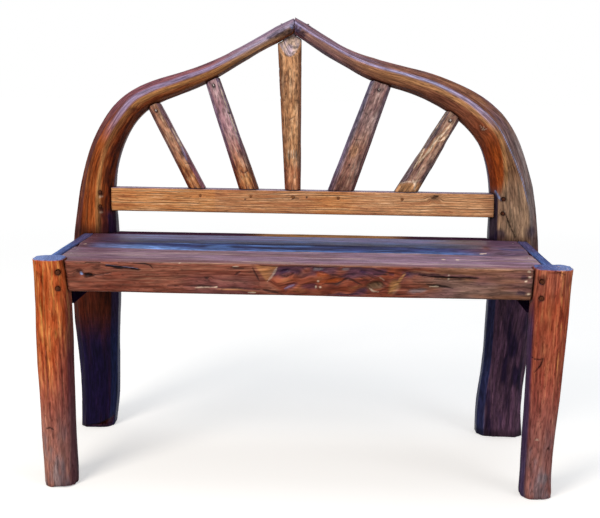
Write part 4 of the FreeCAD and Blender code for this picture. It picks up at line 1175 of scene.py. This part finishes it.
for node, foot, head, width, carve in (
    ("spindle_outer_left", (-248, 191, 567), (-360, 191, 777), 27, carve_outer_left),
    ("spindle_inner_left", (-129, 191, 567), (-222, 191, 831), 30, carve_inner_left),
    ("spindle_centre", (-29, 191, 567), (-41, 191, 926), 34, carve_centre_spindle),
    ("spindle_inner_right", (81, 191, 567), (175, 191, 834), 40, carve_inner_right),
    ("spindle_outer_right", (231, 191, 567), (347, 191, 773), 36, carve_weathered_spindle),
):
    wooden_piece(node, straight_grain(foot, head, width), spoke_wood, carve,
                 voxel_mm=1.7, pith=(14, 40))
for side, sign in (("left", -1), ("right", 1)):
    wooden_piece("side_rail_" + side, depth_grain(sign * 494, 412, width=100), rail_wood,
                 carve_side_rail, voxel_mm=2.4, pith=(40, 20), softening=1, clean_joints=seat_top_nodes)
    wooden_piece("seat_bearer_" + side, depth_grain(sign * 468, 383, width=34), rail_wood,
                 carve_hidden_rail, voxel_mm=2.6, pith=(40, 20), softening=1)
wooden_piece("rear_seat_rail", straight_grain((-430, 186, 427), (420, 186, 427), width=70),
             rail_wood, carve_rear_rail, voxel_mm=2.6, pith=(60, 20), softening=1)


# Pegs and nails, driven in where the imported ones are


# Points further than this share of a pin's length from its middle are the head's
HEAD_SHARE = 0.4995


def driven_tree():
    """Geometry nodes: a slightly domed pin on each point, pointing the way the point says."""
    tree = bpy.data.node_groups.new("driven_pins", "GeometryNodeTree")
    add = partial(add_node, tree)
    sockets = {}
    for name, kind in (
        ("Places", "Geometry"), ("Radius", "Float"), ("Length", "Float"), ("Dome", "Float"),
        ("Sink", "Float"), ("Material", "Material"),
    ):
        socket = tree.interface.new_socket(name, in_out="INPUT", socket_type="NodeSocket" + kind)
        sockets[name] = socket.identifier
    tree.interface.new_socket("Pins", in_out="OUTPUT", socket_type="NodeSocketGeometry")
    given = add("NodeGroupInput").outputs
    shank = add("GeometryNodeMeshCylinder", {
        "Vertices": 20, "Side Segments": 4, "Fill Segments": 3, "Radius": given["Radius"],
        "Depth": given["Length"]})

    # The head sinks in, and its rim lies lower than its middle by the dome
    x, y, z = add("ShaderNodeSeparateXYZ", {0: add("GeometryNodeInputPosition")}).outputs
    reach = add("ShaderNodeMath", {0: x, 1: x}, operation="MULTIPLY")
    reach = add("ShaderNodeMath", {0: y, 1: y, 2: reach}, operation="MULTIPLY_ADD")
    rim = add("ShaderNodeMath", {0: given["Radius"], 1: given["Radius"]}, operation="MULTIPLY")
    reach = add("ShaderNodeMath", {0: reach, 1: rim}, operation="DIVIDE")
    drop = add("ShaderNodeMath", {0: given["Dome"], 1: reach, 2: given["Sink"]}, operation="MULTIPLY_ADD")
    lower = add("ShaderNodeMath", {0: drop, 1: -1.0}, operation="MULTIPLY")
    near_head = add("ShaderNodeMath", {0: given["Length"], 1: HEAD_SHARE}, operation="MULTIPLY")
    domed = add("GeometryNodeSetPosition", {
        "Geometry": shank, "Offset": add("ShaderNodeCombineXYZ", {"Z": lower}),
        "Selection": add("ShaderNodeMath", {0: z, 1: near_head}, operation="GREATER_THAN")})

    way = add("GeometryNodeInputNamedAttribute", {"Name": "way"}, data_type="FLOAT_VECTOR")
    turn = add("FunctionNodeAlignRotationToVector", {"Vector": way}, axis="Z")
    pins = add("GeometryNodeInstanceOnPoints", {
        "Points": given["Places"], "Instance": domed, "Rotation": turn})
    solid = add("GeometryNodeRealizeInstances", {"Geometry": pins})
    finished = add("GeometryNodeSetMaterial", {"Geometry": solid, "Material": given["Material"]})
    add("NodeGroupOutput", {"Pins": finished})
    return tree, sockets


def loose_parts(mesh):
    """The corner places of each separate solid of a mesh."""
    work = bmesh.new()
    work.from_mesh(mesh)
    seen = set()
    parts = []
    for first in work.verts:
        if first in seen:
            continue
        seen.add(first)
        front, part = [first], []
        while front:
            vertex = front.pop()
            part.append(vertex.co.copy())
            for edge in vertex.link_edges:
                other = edge.other_vert(vertex)
                if other not in seen:
                    seen.add(other)
                    front.append(other)
        parts.append(np.array(part))
    work.free()
    return parts


def driven_pins(node, head_way, material, dome_mm, sink_mm):
    """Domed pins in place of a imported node's plain ones. head_way says which end is the head."""
    middles, ways = [], []
    for part in loose_parts(joined_copy(node)):
        middle = (part.min(0) + part.max(0)) / 2
        _, _, axes = np.linalg.svd(part - part.mean(0))
        way = axes[0] * np.sign(axes[0] @ np.array(head_way, float))
        reach = (part - middle) @ way
        radius = np.linalg.norm(part - middle - reach[:, None] * way, axis=1).max()
        middles.append(list(middle))
        ways.append(way)
    points = bpy.data.meshes.new(node + "_places")
    points.from_pydata(middles, [], [])
    keep(points, "way", "FLOAT_VECTOR", "vector", np.array(ways))
    piece = new_object(node + "_driven", points)
    pins = piece.modifiers.new("driven pins", "NODES")
    pins.node_group = pin_tree
    for name, value in (
        ("Radius", float(radius)), ("Length", float(np.ptp(reach))), ("Dome", dome_mm * MM),
        ("Sink", sink_mm * MM), ("Material", material),
    ):
        pins[pin_sockets[name]] = value
    settled_mesh(piece)
    stand_for(piece, node)


pin_tree, pin_sockets = driven_tree()
forward, rearward, upward = (0, -1, 0), (0, 1, 0), (0, 0, 1)
driven_pins("front_leg_pegs", forward, peg_wood, dome_mm=0.5, sink_mm=0.6)
driven_pins("back_rail_pegs", forward, peg_wood, dome_mm=0.5, sink_mm=0.6)
driven_pins("rear_rail_pegs", rearward, peg_wood, dome_mm=0.8, sink_mm=0.8)
driven_pins("spindle_foot_pegs", forward, pale_peg_wood, dome_mm=0.4, sink_mm=0.2)
driven_pins("spindle_head_nails", forward, nail_steel, dome_mm=0.5, sink_mm=0.3)
driven_pins("arch_nails", upward, nail_steel, dome_mm=0.5, sink_mm=0.2)
driven_pins("seat_nails", upward, nail_steel, dome_mm=0.5, sink_mm=0.3)
for node, material in (("side_rail_pegs", peg_wood), ("ridge_dowel", peg_wood), ("bearer_nails", nail_steel)):
    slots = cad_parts[node].material_slots
    if slots:
        slots[0].material = material
    else:
        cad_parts[node].data.materials.append(material)


# Floor, light and camera


# In metres: how far the floor reaches, and where the photograph was taken from
FLOOR_REACH = 30.0
CAMERA_PLACE = (0.0660, -2.3246, 0.8309)
# The picture's width on the film and the lens's focal length, in millimetres
FILM_WIDTH_MM, LENS_MM = 36.0, 66.0


def seen_ray(add):
    """1 for the rays that show the background: camera, glossy and transmission rays."""
    rays = add("ShaderNodeLightPath").outputs
    seen = add("ShaderNodeMath", {0: rays["Is Camera Ray"], 1: rays["Is Glossy Ray"]}, operation="MAXIMUM")
    return add("ShaderNodeMath", {0: seen, 1: rays["Is Transmission Ray"]}, operation="MAXIMUM")


def studio_floor():
    material, add = new_material("pale_studio_floor")
    plain = add("ShaderNodeBsdfDiffuse", {"Color": (0.30, 0.30, 0.31, 1.0)})
    pale = add("ShaderNodeBsdfDiffuse", {"Color": (0.80, 0.76, 0.71, 1.0)})
    # The lamps reach less far than the floor, so it glows more away from the bench.
    place = add("ShaderNodeTexCoord").outputs["Object"]
    away = add("ShaderNodeVectorMath", {"Vector": place}, operation="LENGTH").outputs["Value"]
    strength = add("ShaderNodeMapRange", {
        "Value": away, "From Min": 0.3, "From Max": 5.0, "To Min": 0.43, "To Max": 0.76})
    glow = add("ShaderNodeEmission", {"Color": (1.0, 1.0, 1.0, 1.0), "Strength": strength})
    white = add("ShaderNodeAddShader", {0: pale, 1: glow})
    shown = add("ShaderNodeMixShader", {0: seen_ray(add), 1: plain, 2: white})
    add("ShaderNodeOutputMaterial", {"Surface": shown})
    mesh = bpy.data.meshes.new("floor")
    corners = [(FLOOR_REACH * x, FLOOR_REACH * y, 0) for x, y in ((-1, -1), (1, -1), (1, 1), (-1, 1))]
    mesh.from_pydata(corners, [], [(0, 1, 2, 3)])
    mesh.materials.append(material)
    floor = new_object("floor", mesh)


def studio_world():
    world = bpy.data.worlds.new("pale_studio")
    scene.world = world
    world.use_nodes = True
    world.node_tree.nodes.clear()
    add = partial(add_node, world.node_tree)
    soft = add("ShaderNodeBackground", {"Color": (0.86, 0.92, 1.0, 1.0), "Strength": 0.36})
    white = add("ShaderNodeBackground", {"Color": (1.0, 1.0, 1.0, 1.0), "Strength": 1.0})
    shown = add("ShaderNodeMixShader", {0: seen_ray(add), 1: soft, 2: white})
    add("ShaderNodeOutputWorld", {"Surface": shown})


def soft_light(name, place, target, size, watts, tint):
    lamp = bpy.data.lights.new(name, "AREA")
    lamp.shape = "DISK"
    lamp.size = size
    lamp.energy = watts
    lamp.color = tint
    light = new_object(name, lamp)
    light.location = place
    light.rotation_euler = (Vector(target) - Vector(place)).to_track_quat("-Z", "Y").to_euler()


def photo_camera():
    """The photograph's viewpoint: a long lens, a little above the seat and tilted slightly."""
    yaw, pitch, roll = math.radians(-1.73), math.radians(9.582), math.radians(0.825)
    ahead = Vector((math.sin(yaw) * math.cos(pitch), math.cos(yaw) * math.cos(pitch), -math.sin(pitch)))
    level = Vector((math.cos(yaw), -math.sin(yaw), 0))
    above = level.cross(ahead)
    right = level * math.cos(roll) + above * math.sin(roll)
    up = above * math.cos(roll) - level * math.sin(roll)
    lens = bpy.data.cameras.new("photo_camera")
    lens.sensor_fit = "HORIZONTAL"
    lens.sensor_width = FILM_WIDTH_MM
    lens.lens = LENS_MM
    camera = new_object("photo_camera", lens)
    turn = Matrix((right, up, -ahead)).transposed().to_4x4()
    camera.matrix_world = Matrix.Translation(CAMERA_PLACE) @ turn
    scene.camera = camera


studio_floor()
studio_world()
soft_light("key", (-1.5, -2.4, 2.2), (0, 0, 0.5), size=1.4, watts=74, tint=(1.0, 0.97, 0.92))
soft_light("sky", (0.2, 0.4, 2.7), (0, 0, 0.4), size=2.2, watts=24, tint=(0.78, 0.88, 1.0))
soft_light("fill", (2.2, -1.8, 1.4), (0, 0, 0.5), size=1.6, watts=20, tint=(0.92, 0.95, 1.0))
photo_camera()
scene.view_settings.view_transform = "Standard"
